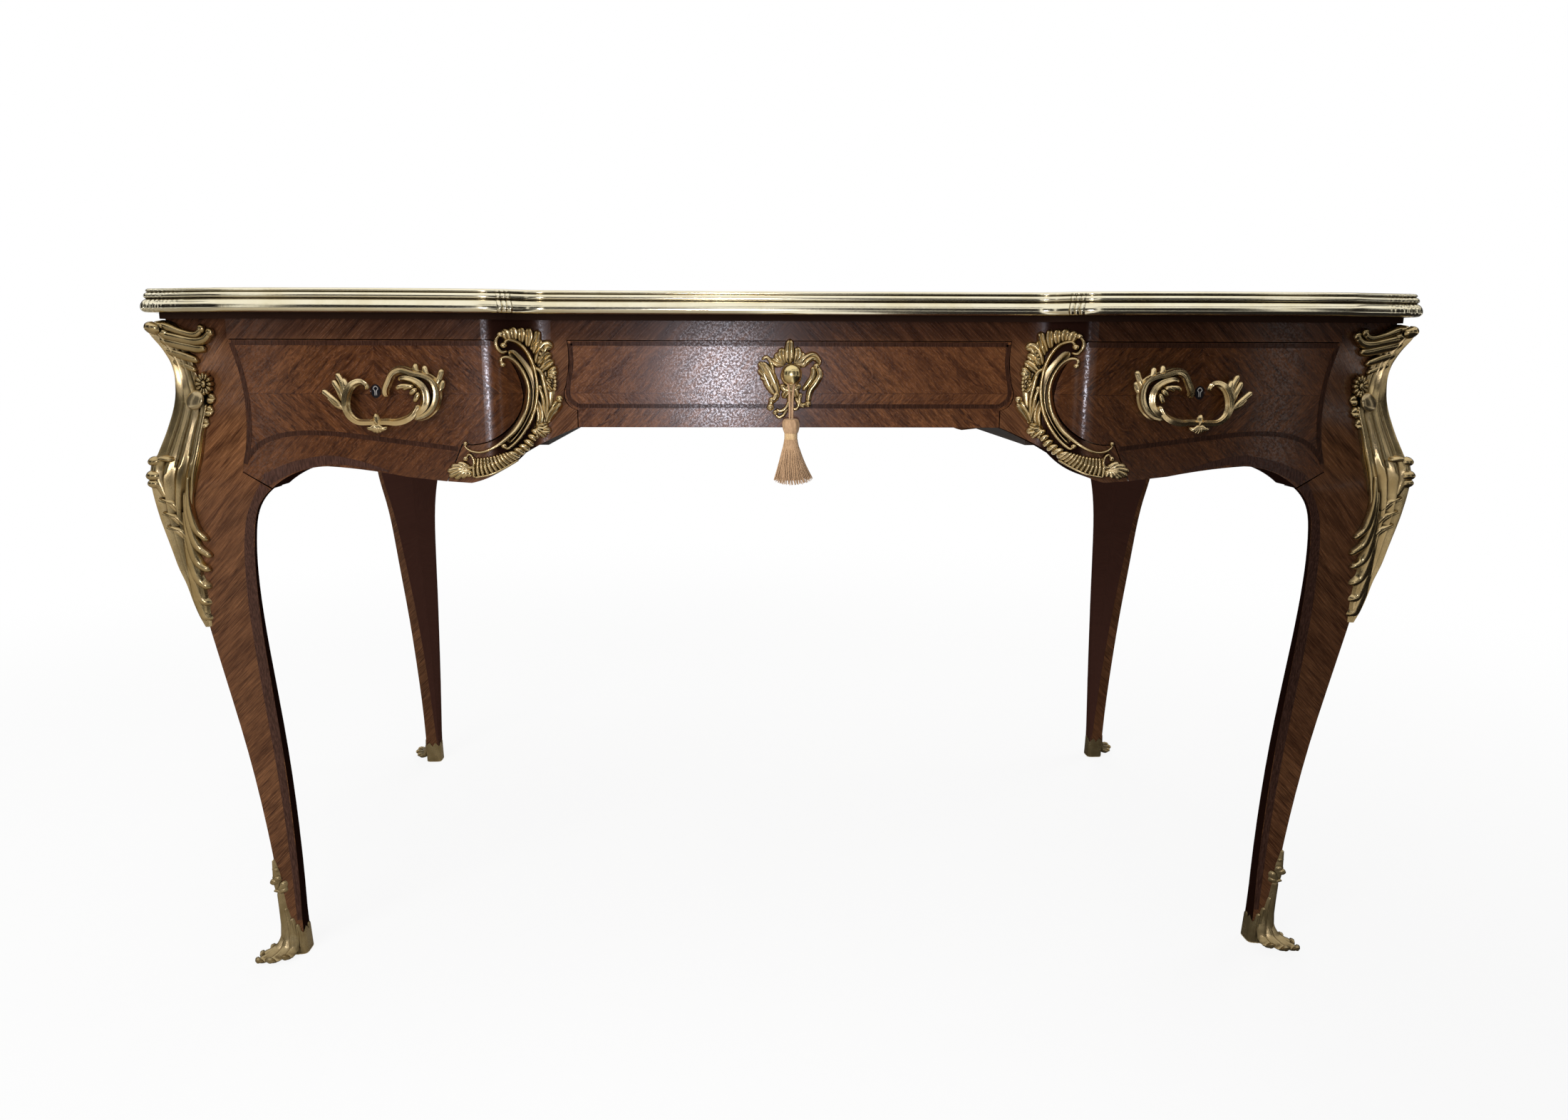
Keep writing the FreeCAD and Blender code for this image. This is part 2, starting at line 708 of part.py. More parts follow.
frame = [v(0, side_low[0], ear_z), v(0, side_low[0], frame_top), v(0, -side_low[0], frame_top), v(0, -side_low[0], ear_z)]
side_lines = [Part.LineSegment(a, b).toShape() for a, b in zip(frame, frame[1:])]
side_prism = closed_face([lower, *side_lines]).extrude(v(S.frame_x + S.side_bow * 2, 0))
side_shape = side_stock.common(side_prism).cut(Part.makeCompound([leg_shape, turned_back(leg_shape)]))
node(feature("side_frieze_right", side_shape))
node(feature("side_frieze_left", mirrored(side_shape)))

# Scroll mounts on the front's stiles and on the back, within the stile's outline
scroll_stock = front_slab(S.scroll_proud.number, centre_y, ear_z, drawer_top).cut(
    front_slab(0, frame_back, ear_z, drawer_top)
)
CRESCENT = 0.42


def crescent_outline():
    """A crescent plate along the outer side of the stile, from its head to its tail."""
    inset = float(S.scroll_inset)
    wide = float(S.stile_width) * CRESCENT
    head = (hook_head[0] - inset, under(2))
    tip = moved(tail, -inset - 2, inset)
    steps = [(head[0] - wide * 0.8, head[1])]
    steps += [(moved(hook_high, -wide * 0.62), moved(hook_mid, -wide * 0.72))]
    steps += [(moved(hook_low, -wide * 0.62, -8), moved(belly, -14, 10)), tip]
    steps += [moved(hook_tip, -inset, -inset)]
    steps += [(moved(hook_low, -inset, -inset), moved(hook_mid, -inset)), (moved(hook_high, -inset), head)]
    return path(head, steps)


scroll_shape = scroll_stock.common(pushed(crescent_outline()))
node(feature("scroll_mounts", Part.makeCompound(four(scroll_shape))))

# Top: board, crossbanded border, leather, metal edge in lengths with corner pieces, and clasps
board_top = S.height - S.skin_thick
screw_rise = frame_top + S.screw_bite
leather_x, leather_y = S.frame_x - S.leather_margin, centre_y - S.leather_margin
leather_size = (leather_x * 2, leather_y * 2, S.skin_thick)
node(box("leather_panel", (-leather_x, -leather_y, board_top), leather_size))
border_hole = Part.makeBox(*[float(side) for side in leather_size], v(-leather_x, -leather_y, board_top))
node(feature("top_crossband", top_slab(float(board_out), board_top, S.height).cut(border_hole)))

# Metal edge's steps: share of its height from the bottom, and how far inside the outer bead
EDGE_STEPS = [(0.0, 0.12, 4.0), (0.12, 0.5, 0.0), (0.5, 0.62, 6.0), (0.62, 0.82, 8.0), (0.82, 1.0, 11.0)]
edge_low, edge_rise = float(frame_top), float(S.top_thick)
edge_ring = None
for low, high, inside in EDGE_STEPS:
    outer = float(S.overhang) - inside
    step = top_slab(outer, edge_low + low * edge_rise, edge_low + high * edge_rise)
    edge_ring = step if edge_ring is None else edge_ring.fuse(step)
edge_ring = edge_ring.cut(top_slab(float(board_out), frame_top, S.height))
seam_x, seam_y = float(S.frame_x - S.seam_in), float(S.frame_y - S.seam_in)
FAR = 1200.0


def edge_part(low, high):
    return edge_ring.common(Part.makeBox(high[0] - low[0], high[1] - low[1], 2 * FAR, v(low[0], low[1], 0)))


node(feature("top_edge_front", edge_part((-seam_x, -FAR), (seam_x, 0))))
node(feature("top_edge_back", edge_part((-seam_x, 0), (seam_x, FAR))))
node(feature("top_edge_right", edge_part((seam_x, -seam_y), (FAR, seam_y))))
node(feature("top_edge_left", edge_part((-FAR, -seam_y), (-seam_x, seam_y))))
corner_piece = edge_part((seam_x, -FAR), (FAR, -seam_y))
node(feature("top_edge_corners", Part.makeCompound(four(corner_piece))))
clasp_skin = top_slab(float(S.overhang + S.clasp_proud), frame_top, S.height).cut(
    top_slab(float(S.overhang), frame_top, S.height)
)
clasp_low = float(block_in) - ogee_run * 0.42 - float(S.clasp_width) / 2
clasp_box = Part.makeBox(float(S.clasp_width), FAR, 2 * FAR, v(clasp_low, -FAR, 0))
node(feature("top_break_clasps", Part.makeCompound(four(clasp_skin.common(clasp_box)))))


# Drawers run on boards fixed to the partitions and the side friezes
partition_low = box_top - S.side_box - S.run_gap - S.runner_thick
side_run_top = box_top - S.side_box - S.run_gap
centre_run_top = box_top - S.centre_box - S.run_gap
side_box_in = block_in - 5
side_box_out = post_x - 18
centre_box_half = S.centre_half - 17
run_end = frame_back * 2
side_end = leg_side_y * 2


def pair(label, low, sides):
    """A board and its mirror image on the other side."""
    right = box(f"{label}_right", low, sides)
    left = box(f"{label}_left", (-(low[0] + sides[0]), low[1], low[2]), sides)
    return [right, left]


partitions = pair(
    "partition",
    (partition_x, -frame_back, partition_low),
    (S.partition_thick, run_end, frame_top - partition_low),
)
for partition in partitions:
    node(partition)
partition_out = partition_x + S.partition_thick
inner_width = side_box_in - partition_out + S.runner_bear
centre_width = partition_x - (centre_box_half - S.drawer_wall * 2)
outer_low = side_box_out - S.drawer_wall * 2
outer_width = side_inner - outer_low
runners = pair(
    "runner_inner", (partition_out, -frame_back, side_run_top - S.runner_thick), (inner_width, run_end, S.runner_thick)
)
runners += pair(
    "runner_outer", (outer_low, -leg_side_y, side_run_top - S.runner_thick), (outer_width, side_end, S.runner_thick)
)
runners += pair(
    "runner_centre",
    (partition_x - centre_width, -frame_back, centre_run_top - S.runner_thick),
    (centre_width, run_end, S.runner_thick),
)
node(group("drawer_runners", runners))

guides = pair(
    "guide_inner",
    (partition_out, -frame_back, side_run_top),
    (side_box_in - S.guide_gap - partition_out, run_end, S.guide_height),
)
guides += pair(
    "guide_outer",
    (side_box_out + S.guide_gap, -leg_side_y, side_run_top),
    (side_inner - side_box_out - S.guide_gap, side_end, S.guide_height),
)
guides += pair(
    "guide_centre",
    (centre_box_half + S.guide_gap, -frame_back, centre_run_top),
    (partition_x - centre_box_half - S.guide_gap, run_end, S.guide_height),
)
node(group("drawer_guides", guides))

# Kickers keep an open drawer level, and screws through them hold the top
kicker_low = box_top + S.guide_gap
kicker_height = frame_top - kicker_low
screw_places = []
kicker_boards = []
for label, low_x, width, low_y, length in (
    ("kicker_inner", partition_out, inner_width, -frame_back, run_end),
    ("kicker_outer", outer_low, outer_width, -leg_side_y, side_end),
    ("kicker_centre", partition_x - centre_width, centre_width, -frame_back, run_end),
):
    kicker_boards += pair(label, (low_x, low_y, kicker_low), (width, length, kicker_height))
    for side in (1, -1):
        for end in (-0.38, 0.38):
            screw_places.append(((low_x + width / 2) * side, length * end))

HEAD_THICK = 3
screws, bores = [], []
for index, (x, y) in enumerate(screw_places):
    head_low = kicker_low + 1
    shank = rod(f"screw_shank_{index}", (x, y, head_low), S.screw_radius, screw_rise - head_low, Vector(0, 0, 1))
    head = rod(f"screw_head_{index}", (x, y, head_low), S.screw_head, S.screw_head * 0 + HEAD_THICK, Vector(0, 0, 1))
    screws.append(joined(f"screw_{index}", [shank, head]))
    sink = rod(f"sink_{index}", (x, y, kicker_low), S.screw_head, S.screw_head * 0 + HEAD_THICK + 1, Vector(0, 0, 1))
    bores.append(joined(f"bore_{index}", [shank, sink]))
kickers = []
for index, board in enumerate(kicker_boards):
    kickers.append(cut(f"kicker_{index}", board, [bores[2 * index], bores[2 * index + 1]]))
node(group("drawer_kickers", kickers))
node(group("top_screws", screws))
board_blank = feature("top_board_blank", top_slab(float(board_out), frame_top, board_top))
node(cut("top_board", board_blank, screws))

# Stops behind the drawers, and glue blocks in the corner of side frieze and top
side_back = -block_end_y + S.block_front - S.block_sag + drawer_length
centre_back = -frame_back + drawer_length
STOP_CLEAR = 0.5
stop_height = S.guide_height + 6
stops = pair(
    "stop_side",
    (side_box_in + 1, side_back + STOP_CLEAR, side_run_top),
    (S.runner_bear - 2, S.stop_length, stop_height),
)
stops += pair(
    "stop_centre",
    (centre_box_half - S.drawer_wall, centre_back + STOP_CLEAR, centre_run_top),
    (S.drawer_wall, S.stop_length, stop_height),
)
node(group("drawer_stops", stops))
blocks = []
for label, share in (("front", -0.86), ("back", 0.86)):
    mid = leg_side_y * share
    blocks += pair(
        f"glue_block_{label}",
        (side_inner - S.block_size, mid - S.block_length / 2, kicker_low - S.block_size),
        (S.block_size, S.block_length, S.block_size),
    )
node(group("glue_blocks", blocks))


# Drawers
FORWARD = Vector(0, -1, 0)
BACKWARD = Vector(0, 1, 0)
handle_x = along(0.42)
HANDLE_ENDS = [(-38.0, 10.0), (52.0, 18.0)]
side_front_back = block_end_y - S.block_front + S.block_sag
side_key = (handle_x, float(key_z) - 18.0)


def front_depth(x):
    """How far the front line stands before the drawer front's back face."""
    return -front_y(x) - float(side_front_back)


def drawer_box(side, low_x, high_x, front_back, box_low):
    """Sides, back and bottom of a drawer behind its front."""
    wall, groove, floor_z = S.drawer_wall, S.floor_groove, box_low + S.floor_groove
    width, height = high_x - low_x, box_top - box_low
    start = -front_back
    walls = []
    tongue = box(
        f"{side}_tongue",
        (low_x + wall - groove, start, floor_z),
        (width - (wall - groove) * 2, drawer_length, S.drawer_floor),
    )
    for label, x in (("a", low_x), ("b", high_x - wall)):
        blank = box(f"{side}_blank_{label}", (x, start, box_low), (wall, drawer_length, height))
        walls.append(cut(f"{side}_wall_{label}", blank, [tongue]))
    node(group(f"{side}_sides", walls))
    back_low = floor_z + S.drawer_floor
    node(
        box(
            f"{side}_back",
            (low_x + wall, start + drawer_length - wall, back_low),
            (width - wall * 2, wall, box_top - back_low),
        )
    )
    bottom = box(
        f"{side}_bottom",
        (low_x + wall - groove, start, floor_z),
        (width - (wall - groove) * 2, drawer_length, S.drawer_floor),
    )
    node(bottom)


def lock(side, x, front_back):
    """A lock case on the back of a drawer front, with a bolt that rises behind the rail."""
    case_low = drawer_top - 3 - S.lock_height
    blank = box(
        f"{side}_lock_blank", (x - S.lock_width / 2, -front_back, case_low), (S.lock_width, S.lock_thick, S.lock_height)
    )
    bolt_low = drawer_top - 2 - S.bolt_height
    bolt_y = -front_back + (S.lock_thick - S.bolt_thick) / 2
    bolt_size = (S.bolt_width, S.bolt_thick, S.bolt_height)
    bolt = box(f"{side}_lock_bolt", (x - S.bolt_width / 2, bolt_y, bolt_low), bolt_size)
    gap = S.bolt_gap
    channel = box(
        f"{side}_channel",
        (x - S.bolt_width / 2 - gap, bolt_y - gap, bolt_low - gap),
        (S.bolt_width + gap * 2, S.bolt_thick + gap * 2, S.bolt_height + gap + S.bolt_throw * 2),
    )
    node(cut(f"{side}_lock", blank, [channel]))
    node(bolt)


def handle_shape(sign, x, z):
    """A looped cast pull: a bar from one foot down and round to the other, on two stand-off feet."""
    bar_y = -float(block_y) - float(S.handle_off)
    radius = float(S.handle_radius)
    (ax, az), (bx, bz) = HANDLE_ENDS
    left, right = v(x + sign * ax, bar_y, z + az), v(x + sign * bx, bar_y, z + bz)
    bottom = v(x + sign * 2, bar_y, z - 40)
    first = Part.Arc(left, v(x + sign * -30, bar_y, z - 24), bottom).toShape()
    second = Part.Arc(bottom, v(x + sign * 46, bar_y, z - 22), right).toShape()
    solid = None
    for edge, start in ((first, left), (second, bottom)):
        direction = edge.tangentAt(edge.FirstParameter)
        ring = Part.Wire(Part.makeCircle(radius, start, direction))
        bar = Part.Wire(edge).makePipeShell([ring], True, True)
        solid = bar if solid is None else solid.fuse(bar)
    solid = solid.fuse(Part.makeSphere(radius, bottom))
    for foot in (left, right):
        length = front_y(abs(foot.x)) - bar_y
        solid = solid.fuse(Part.makeSphere(radius * 1.3, foot))
        solid = solid.fuse(Part.makeCylinder(radius * 1.15, length, foot, BACKWARD))
    return solid


def side_drawer(side, sign):
    outline = pushed(side_drawer_outline(float(S.drawer_gap)))
    blank = front_slab(0, side_front_back, ear_z - 10, drawer_top).common(outline)
    blank = blank if sign > 0 else mirrored(blank)
    front_blank = feature(f"{side}_front_blank", blank)
    studs, holes = [], []
    key_x, key_height = side_key
    back = -float(side_front_back)
    for index, (dx, dz) in enumerate(HANDLE_ENDS):
        # The loop's wide end is towards the middle of the desk on both sides
        x, z = sign * (key_x - dx), key_height + dz
        reach = front_depth(abs(x))
        start = (x, -reach + back, z)
        length = S.nut_thick + reach + 2
        studs.append(
            joined(
                f"{side}_stud_{index}",
                [
                    rod(f"{side}_shank_{index}", start, S.stud_radius, length, BACKWARD),
                    rod(f"{side}_nut_{index}", (x, back, z), S.nut_radius, S.nut_thick, BACKWARD),
                ],
            )
        )
        holes.append(
            rod(f"{side}_hole_{index}", (x, back - 2 * reach, z), S.stud_radius + S.stud_gap, S.nut_thick + 3 * reach, BACKWARD)
        )
    key_reach = front_depth(key_x)
    liner_at = (sign * key_x, back - key_reach, key_height)
    seat = rod(f"{side}_liner_seat", liner_at, S.liner_radius, S.liner_thick, BACKWARD)
    bore = rod(f"{side}_liner_bore", liner_at, S.liner_hole, S.liner_thick, BACKWARD)
    holes.append(rod(f"{side}_liner_well", (liner_at[0], back - 2 * key_reach, key_height), S.liner_radius, S.liner_thick + key_reach, BACKWARD))
    node(cut(f"{side}_front", front_blank, holes))
    node(cut(f"{side}_keyhole", seat, [bore]))
    node(group(f"{side}_handle_studs", studs))
    pull = handle_shape(-sign, sign * key_x, key_height)
    node(feature(f"{side}_handle", pull))
    low_x, high_x = side_box_in, side_box_out
    if sign < 0:
        low_x, high_x = -side_box_out, -side_box_in
    drawer_box(side, low_x, high_x, side_front_back, box_top - S.side_box)
    lock(side, Size(sign * key_x, repr(sign * key_x)), side_front_back)


side_drawer("left_drawer", -1)
side_drawer("right_drawer", 1)

# Mortises in the rail for the bolts of the side drawers
mortise_size = (S.bolt_width + S.bolt_gap * 2, S.bolt_thick + S.bolt_gap * 2, S.bolt_throw + S.bolt_gap)
mortise_y = -side_front_back + (S.lock_thick - S.bolt_thick) / 2 - S.bolt_gap
mortises = pair("mortise", (handle_x - mortise_size[0] / 2, mortise_y, drawer_top), mortise_size)
node(cut("front_top_rail", rail_blank, mortises))

# Centre drawer: front with a hole for the key, box, lock, keyhole plate, key and tassel
centre_blank = feature(
    "centre_drawer_front_blank",
    front_slab(0, frame_back, ear_z, drawer_top).common(pushed(centre_drawer_outline(float(S.drawer_gap)))),
)
key_base = (S.centre_half * 0, -centre_y - S.key_out, key_z)
key_length = S.key_out + S.front_thick + S.lock_thick * 0.2
key_bore = rod("key_bore", key_base, S.key_radius + S.key_gap, key_length, BACKWARD)
node(cut("centre_drawer_front", centre_blank, [key_bore]))
drawer_box("centre_drawer", -centre_box_half, centre_box_half, frame_back, box_top - S.centre_box)
lock("centre_drawer", S.centre_half * 0, frame_back)

plate_half = float(S.plate_width) / 2
plate_high, plate_low = float(key_z + S.plate_rise), float(key_z - S.plate_fall)
plate_edges = path(
    (0.0, plate_high),
    [
        ((plate_half * 0.55, float(key_z) + float(S.plate_rise) * 0.62), (plate_half, float(key_z) + 4)),
        ((plate_half * 0.9, float(key_z) - float(S.plate_fall) * 0.45), (plate_half * 0.3, plate_low + 6)),
        ((0.0, plate_low), (-plate_half * 0.3, plate_low + 6)),
        ((-plate_half * 0.9, float(key_z) - float(S.plate_fall) * 0.45), (-plate_half, float(key_z) + 4)),
        ((-plate_half * 0.55, float(key_z) + float(S.plate_rise) * 0.62), (0.0, plate_high)),
    ],
)
plate_face = closed_face(plate_edges)
plate_face.translate(v(0, -centre_y))
plate_blank = feature("keyhole_plate_blank", plate_face.extrude(v(0, -S.plate_thick)))
node(cut("keyhole_plate", plate_blank, [key_bore]))

# Key: stem into the lock, and a round bow on a narrow neck that carries the tassel's cord
neck = S.key_radius
zero = S.key_radius * 0
stem_in = S.front_thick - 1
key_profile = [
    (zero, zero),
    (neck, zero),
    (neck, stem_in + S.key_out),
    (S.knob_radius * 0.7, stem_in + S.key_out + 1),
    (S.knob_radius, stem_in + S.key_out + S.knob_depth * 0.45),
    (S.knob_radius * 0.8, stem_in + S.key_out + S.knob_depth * 0.85),
    (zero, stem_in + S.key_out + S.knob_depth),
]
to_front = FreeCAD.Rotation(Vector(0, 0, 1), FORWARD)
node(turned("key", key_profile, (zero, -centre_y + stem_in, key_z), to_front))

# Tassel: a doubled cord looped over the key's neck, a head with a binding, and a skirt
cord_y = -centre_y - S.key_out + S.cord_radius + S.cord_gap
loop_radius = float(S.key_radius + S.cord_radius + S.cord_gap)
apart = float(S.strand_apart) / 2
head_top = key_z - S.cord_fall
fall = float(S.cord_fall)
reach = math.hypot(apart, fall)
# Where a strand leaves the loop: the tangent from its lower end
leave = math.atan2(-fall, apart) + math.acos(loop_radius / reach)
loop_centre = v(0, cord_y, key_z)


def on_loop(angle):
    return loop_centre + v(loop_radius * math.cos(angle), 0, loop_radius * math.sin(angle))


right_end, left_end = v(apart, cord_y, head_top), v(-apart, cord_y, head_top)
right_leave, left_leave = on_loop(leave), on_loop(math.pi - leave)
cord_edges = [
    Part.LineSegment(right_end, right_leave).toShape(),
    Part.Arc(right_leave, on_loop(math.pi / 2), left_leave).toShape(),
    Part.LineSegment(left_leave, left_end).toShape(),
]
cord_path = Part.Wire(cord_edges)
cord_ring = Part.Wire(Part.makeCircle(float(S.cord_radius), right_end, right_leave - right_end))
cord_shape = cord_path.makePipeShell([cord_ring], True, True)
cord_section = math.pi * float(S.cord_radius) ** 2
print(f"cord: length {cord_path.Length:.2f} mm, loop radius {loop_radius:.2f} mm,", end=" ")
print(f"volume {cord_shape.Volume:.2f} against {cord_section * cord_path.Length:.2f} mm3")
level = Part.makeBox(2 * FAR, 2 * FAR, FAR, v(-FAR, -FAR, float(head_top) - FAR))
node(feature("tassel_cord", cord_shape.cut(level)))
head_low = head_top - S.head_height - S.bind_height
upright = FreeCAD.Rotation()
head_profile = [
    (zero, zero),
    (S.bind_radius, zero),
    (S.bind_radius, S.bind_height),
    (S.head_radius, S.bind_height + S.head_height * 0.2),
    (S.head_radius, S.bind_height + S.head_height * 0.75),
    (S.head_radius * 0.6, S.bind_height + S.head_height),
    (zero, S.bind_height + S.head_height),
]
node(turned("tassel_head", head_profile, (zero, cord_y, head_low), upright))
skirt_profile = [
    (zero, zero),
    (S.skirt_radius, zero),
    (S.skirt_radius * 0.78, S.skirt_length * 0.4),
    (S.bind_radius, S.skirt_length),
    (zero, S.skirt_length),
]
node(turned("tassel_skirt", skirt_profile, (zero, cord_y, head_low - S.skirt_length), upright))

# Checks and files
doc.recompute()
faults = [made.Label for made in doc.Objects if "Invalid" in made.State or "Error" in made.State]
for made in NODES:
    shape = made.Shape
    if shape.isNull() or not shape.isValid() or not shape.Solids:
        faults.append(made.Label)
if faults:
    raise SystemExit(f"failed: {sorted(set(faults))}")
os.makedirs("parts", exist_ok=True)
for made in NODES:
    made.Shape.exportStep(f"parts/{made.Label}.step")
print(len(NODES), "sub-parts written")
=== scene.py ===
# %% [markdown]
# # A writing desk with gilt mounts
# The desk is a flat-topped writing table with three drawers, four curved legs and cast gilt ornament.
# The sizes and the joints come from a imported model, which is loaded first and never changed. This
# lesson adds the looks: polished veneer, a bright metal edge, modelled ornament, leather and silk. The
# box of the loaded model is kept, because the finished desk has to stay inside it.

# %% Load the frame
import json
import math

import bmesh
import bpy
import numpy as np
from mathutils import Matrix, Vector
from mathutils.bvhtree import BVHTree


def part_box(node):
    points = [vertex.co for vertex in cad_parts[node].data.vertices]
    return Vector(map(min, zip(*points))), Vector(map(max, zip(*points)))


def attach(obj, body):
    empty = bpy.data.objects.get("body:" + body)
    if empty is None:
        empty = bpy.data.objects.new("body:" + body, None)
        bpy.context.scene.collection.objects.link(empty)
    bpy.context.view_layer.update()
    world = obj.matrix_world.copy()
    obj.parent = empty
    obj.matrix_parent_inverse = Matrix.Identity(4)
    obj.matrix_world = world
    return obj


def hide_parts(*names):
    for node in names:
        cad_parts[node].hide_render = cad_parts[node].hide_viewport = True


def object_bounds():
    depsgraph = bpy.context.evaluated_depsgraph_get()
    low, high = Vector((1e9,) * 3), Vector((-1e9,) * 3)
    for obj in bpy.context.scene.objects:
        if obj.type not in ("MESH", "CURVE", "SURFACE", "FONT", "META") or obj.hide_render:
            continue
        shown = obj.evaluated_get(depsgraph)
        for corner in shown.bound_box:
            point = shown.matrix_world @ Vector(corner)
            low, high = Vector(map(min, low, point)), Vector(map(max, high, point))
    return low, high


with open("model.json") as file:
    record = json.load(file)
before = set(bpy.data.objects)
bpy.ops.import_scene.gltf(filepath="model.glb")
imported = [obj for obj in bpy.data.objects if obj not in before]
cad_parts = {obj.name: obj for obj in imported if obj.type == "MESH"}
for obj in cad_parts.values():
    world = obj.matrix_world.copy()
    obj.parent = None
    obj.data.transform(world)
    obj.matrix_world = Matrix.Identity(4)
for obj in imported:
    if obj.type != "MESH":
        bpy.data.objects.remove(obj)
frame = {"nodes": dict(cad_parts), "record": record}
nodes = frame["nodes"]
cad_low, cad_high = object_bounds()
MM = 0.001
print(len(nodes), "pieces loaded, box", [round(a, 3) for a in cad_high - cad_low])

# %% [markdown]
# The camera stands where the photographer stood: close in front, a little left of the middle, with a
# wide lens. Such a close view makes the near legs look much larger than the far ones, so guessing it by
# eye fails. Matching points that mirror each other on the desk gives the lens and the place. The lens
# shift says that the picture was cropped.

# %% Camera
PHOTO_WIDTH, PHOTO_HEIGHT = 2200, 1571
FOCAL_PX = 1495.4
SIGHT_PX = (1065.7, 788.3)
SENSOR = 36.0
CAMERA_AT = (-0.0629, -1.5034, 0.7253)
CAMERA_TURN, CAMERA_TILT, CAMERA_ROLL = -1.55, 78.5, 0.18
camera = bpy.data.objects.new("camera", bpy.data.cameras.new("camera"))
camera.data.sensor_width = SENSOR
camera.data.lens = FOCAL_PX / PHOTO_WIDTH * SENSOR
camera.data.shift_x = (PHOTO_WIDTH / 2 - SIGHT_PX[0]) / PHOTO_WIDTH
camera.data.shift_y = (SIGHT_PX[1] - PHOTO_HEIGHT / 2) / PHOTO_WIDTH
turned = Matrix.Rotation(math.radians(CAMERA_TURN), 4, "Z")
tilted = Matrix.Rotation(math.radians(CAMERA_TILT), 4, "X")
rolled = Matrix.Rotation(math.radians(CAMERA_ROLL), 4, "Z")
camera.matrix_world = Matrix.Translation(CAMERA_AT) @ turned @ tilted @ rolled
bpy.context.scene.collection.objects.link(camera)
bpy.context.scene.camera = camera
print("lens", round(camera.data.lens, 1), "mm")

# %% [markdown]
# A shader is a chain of small nodes. Wiring each one by hand hides the sum that it does, so this class
# wraps a socket and lets Python's own signs build the Math nodes: a + b, 1 - mask. Everything else goes
# through one method that makes a node of any type, sets it up and fills its sockets.

# %% Shader sums
class Signal:
    """A shader socket that can be used in sums."""

    def __init__(self, tree, socket=None):
        self.tree = tree
        self.socket = socket

    def node(self, kind, settings=None, sockets=None, output=0):
        """Adds a node of any type: its settings first, then the values or links of its sockets."""
        made = self.tree.nodes.new("ShaderNode" + kind)
        for name, value in (settings or {}).items():
            setattr(made, name, value)
        for name, value in (sockets or {}).items():
            if isinstance(value, Signal):
                self.tree.links.new(value.socket, made.inputs[name])
            else:
                made.inputs[name].default_value = value
        return Signal(self.tree, made.outputs[output] if made.outputs else None)

    def outputs(self, *names):
        """More outputs of the node that this signal comes from."""
        return [Signal(self.tree, self.socket.node.outputs[name]) for name in names]

    def math(self, operation, *others):
        return self.node("Math", {"operation": operation}, dict(enumerate((self, *others))))

    def __add__(self, other):
        return self.math("ADD", other)

    def __sub__(self, other):
        return self.math("SUBTRACT", other)

    def __rsub__(self, other):
        return self.math("MULTIPLY_ADD", -1.0, other)

    def __mul__(self, other):
        return self.math("MULTIPLY", other)

    def __truediv__(self, other):
        return self.math("DIVIDE", other)

    def __gt__(self, other):
        return self.math("GREATER_THAN", other)

    def __lt__(self, other):
        return self.math("LESS_THAN", other)

    def __abs__(self):
        return self.math("ABSOLUTE")

    def clamped(self):
        return self.math("MAXIMUM", 0.0).math("MINIMUM", 1.0)

    def smooth(self, low, high):
        """Rises gently from 0 to 1 as the value goes from low to high."""
        settings = {"interpolation_type": "SMOOTHSTEP"}
        return self.node("MapRange", settings, {"Value": self, "From Min": low, "From Max": high})


print("shader sums ready")

# %% [markdown]
# The finishes share a few small helpers: two colours mixed, three numbers joined into a vector, and
# noise at a chosen scale. A colour goes through a Mix node, because a Math node would turn it grey.

# %% Colours and noise
def rgba(colour):
    return (*colour, 1.0)


def blend(factor, first, second, way="MIX"):
    """Mixes two colours, each a signal or three numbers."""
    root = next(value for value in (factor, first, second) if isinstance(value, Signal))
    first, second = (c if isinstance(c, Signal) else rgba(c) for c in (first, second))
    return root.node("Mix", {"data_type": "RGBA", "blend_type": way}, {0: factor, 6: first, 7: second}, 2)


def vector(x, y, z=0.0):
    return x.node("CombineXYZ", None, {"X": x, "Y": y, "Z": z})


def noise(place, scale, detail=2.0, rough=0.5, stretch=0.0):
    sockets = {"Vector": place, "Scale": scale, "Detail": detail, "Roughness": rough, "Distortion": stretch}
    return place.node("TexNoise", None, sockets)


print("colours and noise ready")

# %% [markdown]
# Every finish starts from the point's own place on the piece and ends in one Principled shader. Where
# part of a surface is painted as shade, such as the inner face of a leg, a dark second shader with no
# shine is mixed in. Both ends of this chain are the same for all finishes, so they are written once.

# %% Start and end of a finish
def start(name):
    """A new material, and the signal that its nodes grow from."""
    material = bpy.data.materials.new(name)
    material.use_nodes = True
    material.node_tree.nodes.clear()
    return material, Signal(material.node_tree)


def spot_on(root):
    """The point on the piece, as one vector."""
    return root.node("TexCoord", None, None, "Object")


def place_of(root):
    """The point on the piece, and the way its face looks, each as three numbers."""
    ways = (spot_on(root), root.node("TexCoord", None, None, "Normal"))
    return [root.node("SeparateXYZ", None, {"Vector": way}).outputs(0, 1, 2) for way in ways]


def matt_shader(root, colour):
    """Paint, cloth or painted shade with no shine at all."""
    sockets = {"Base Color": colour, "Roughness": 1.0, "Specular IOR Level": 0.0}
    return root.node("BsdfPrincipled", None, sockets)


def ended(material, root, shader):
    root.node("OutputMaterial", None, {"Surface": shader})
    return material


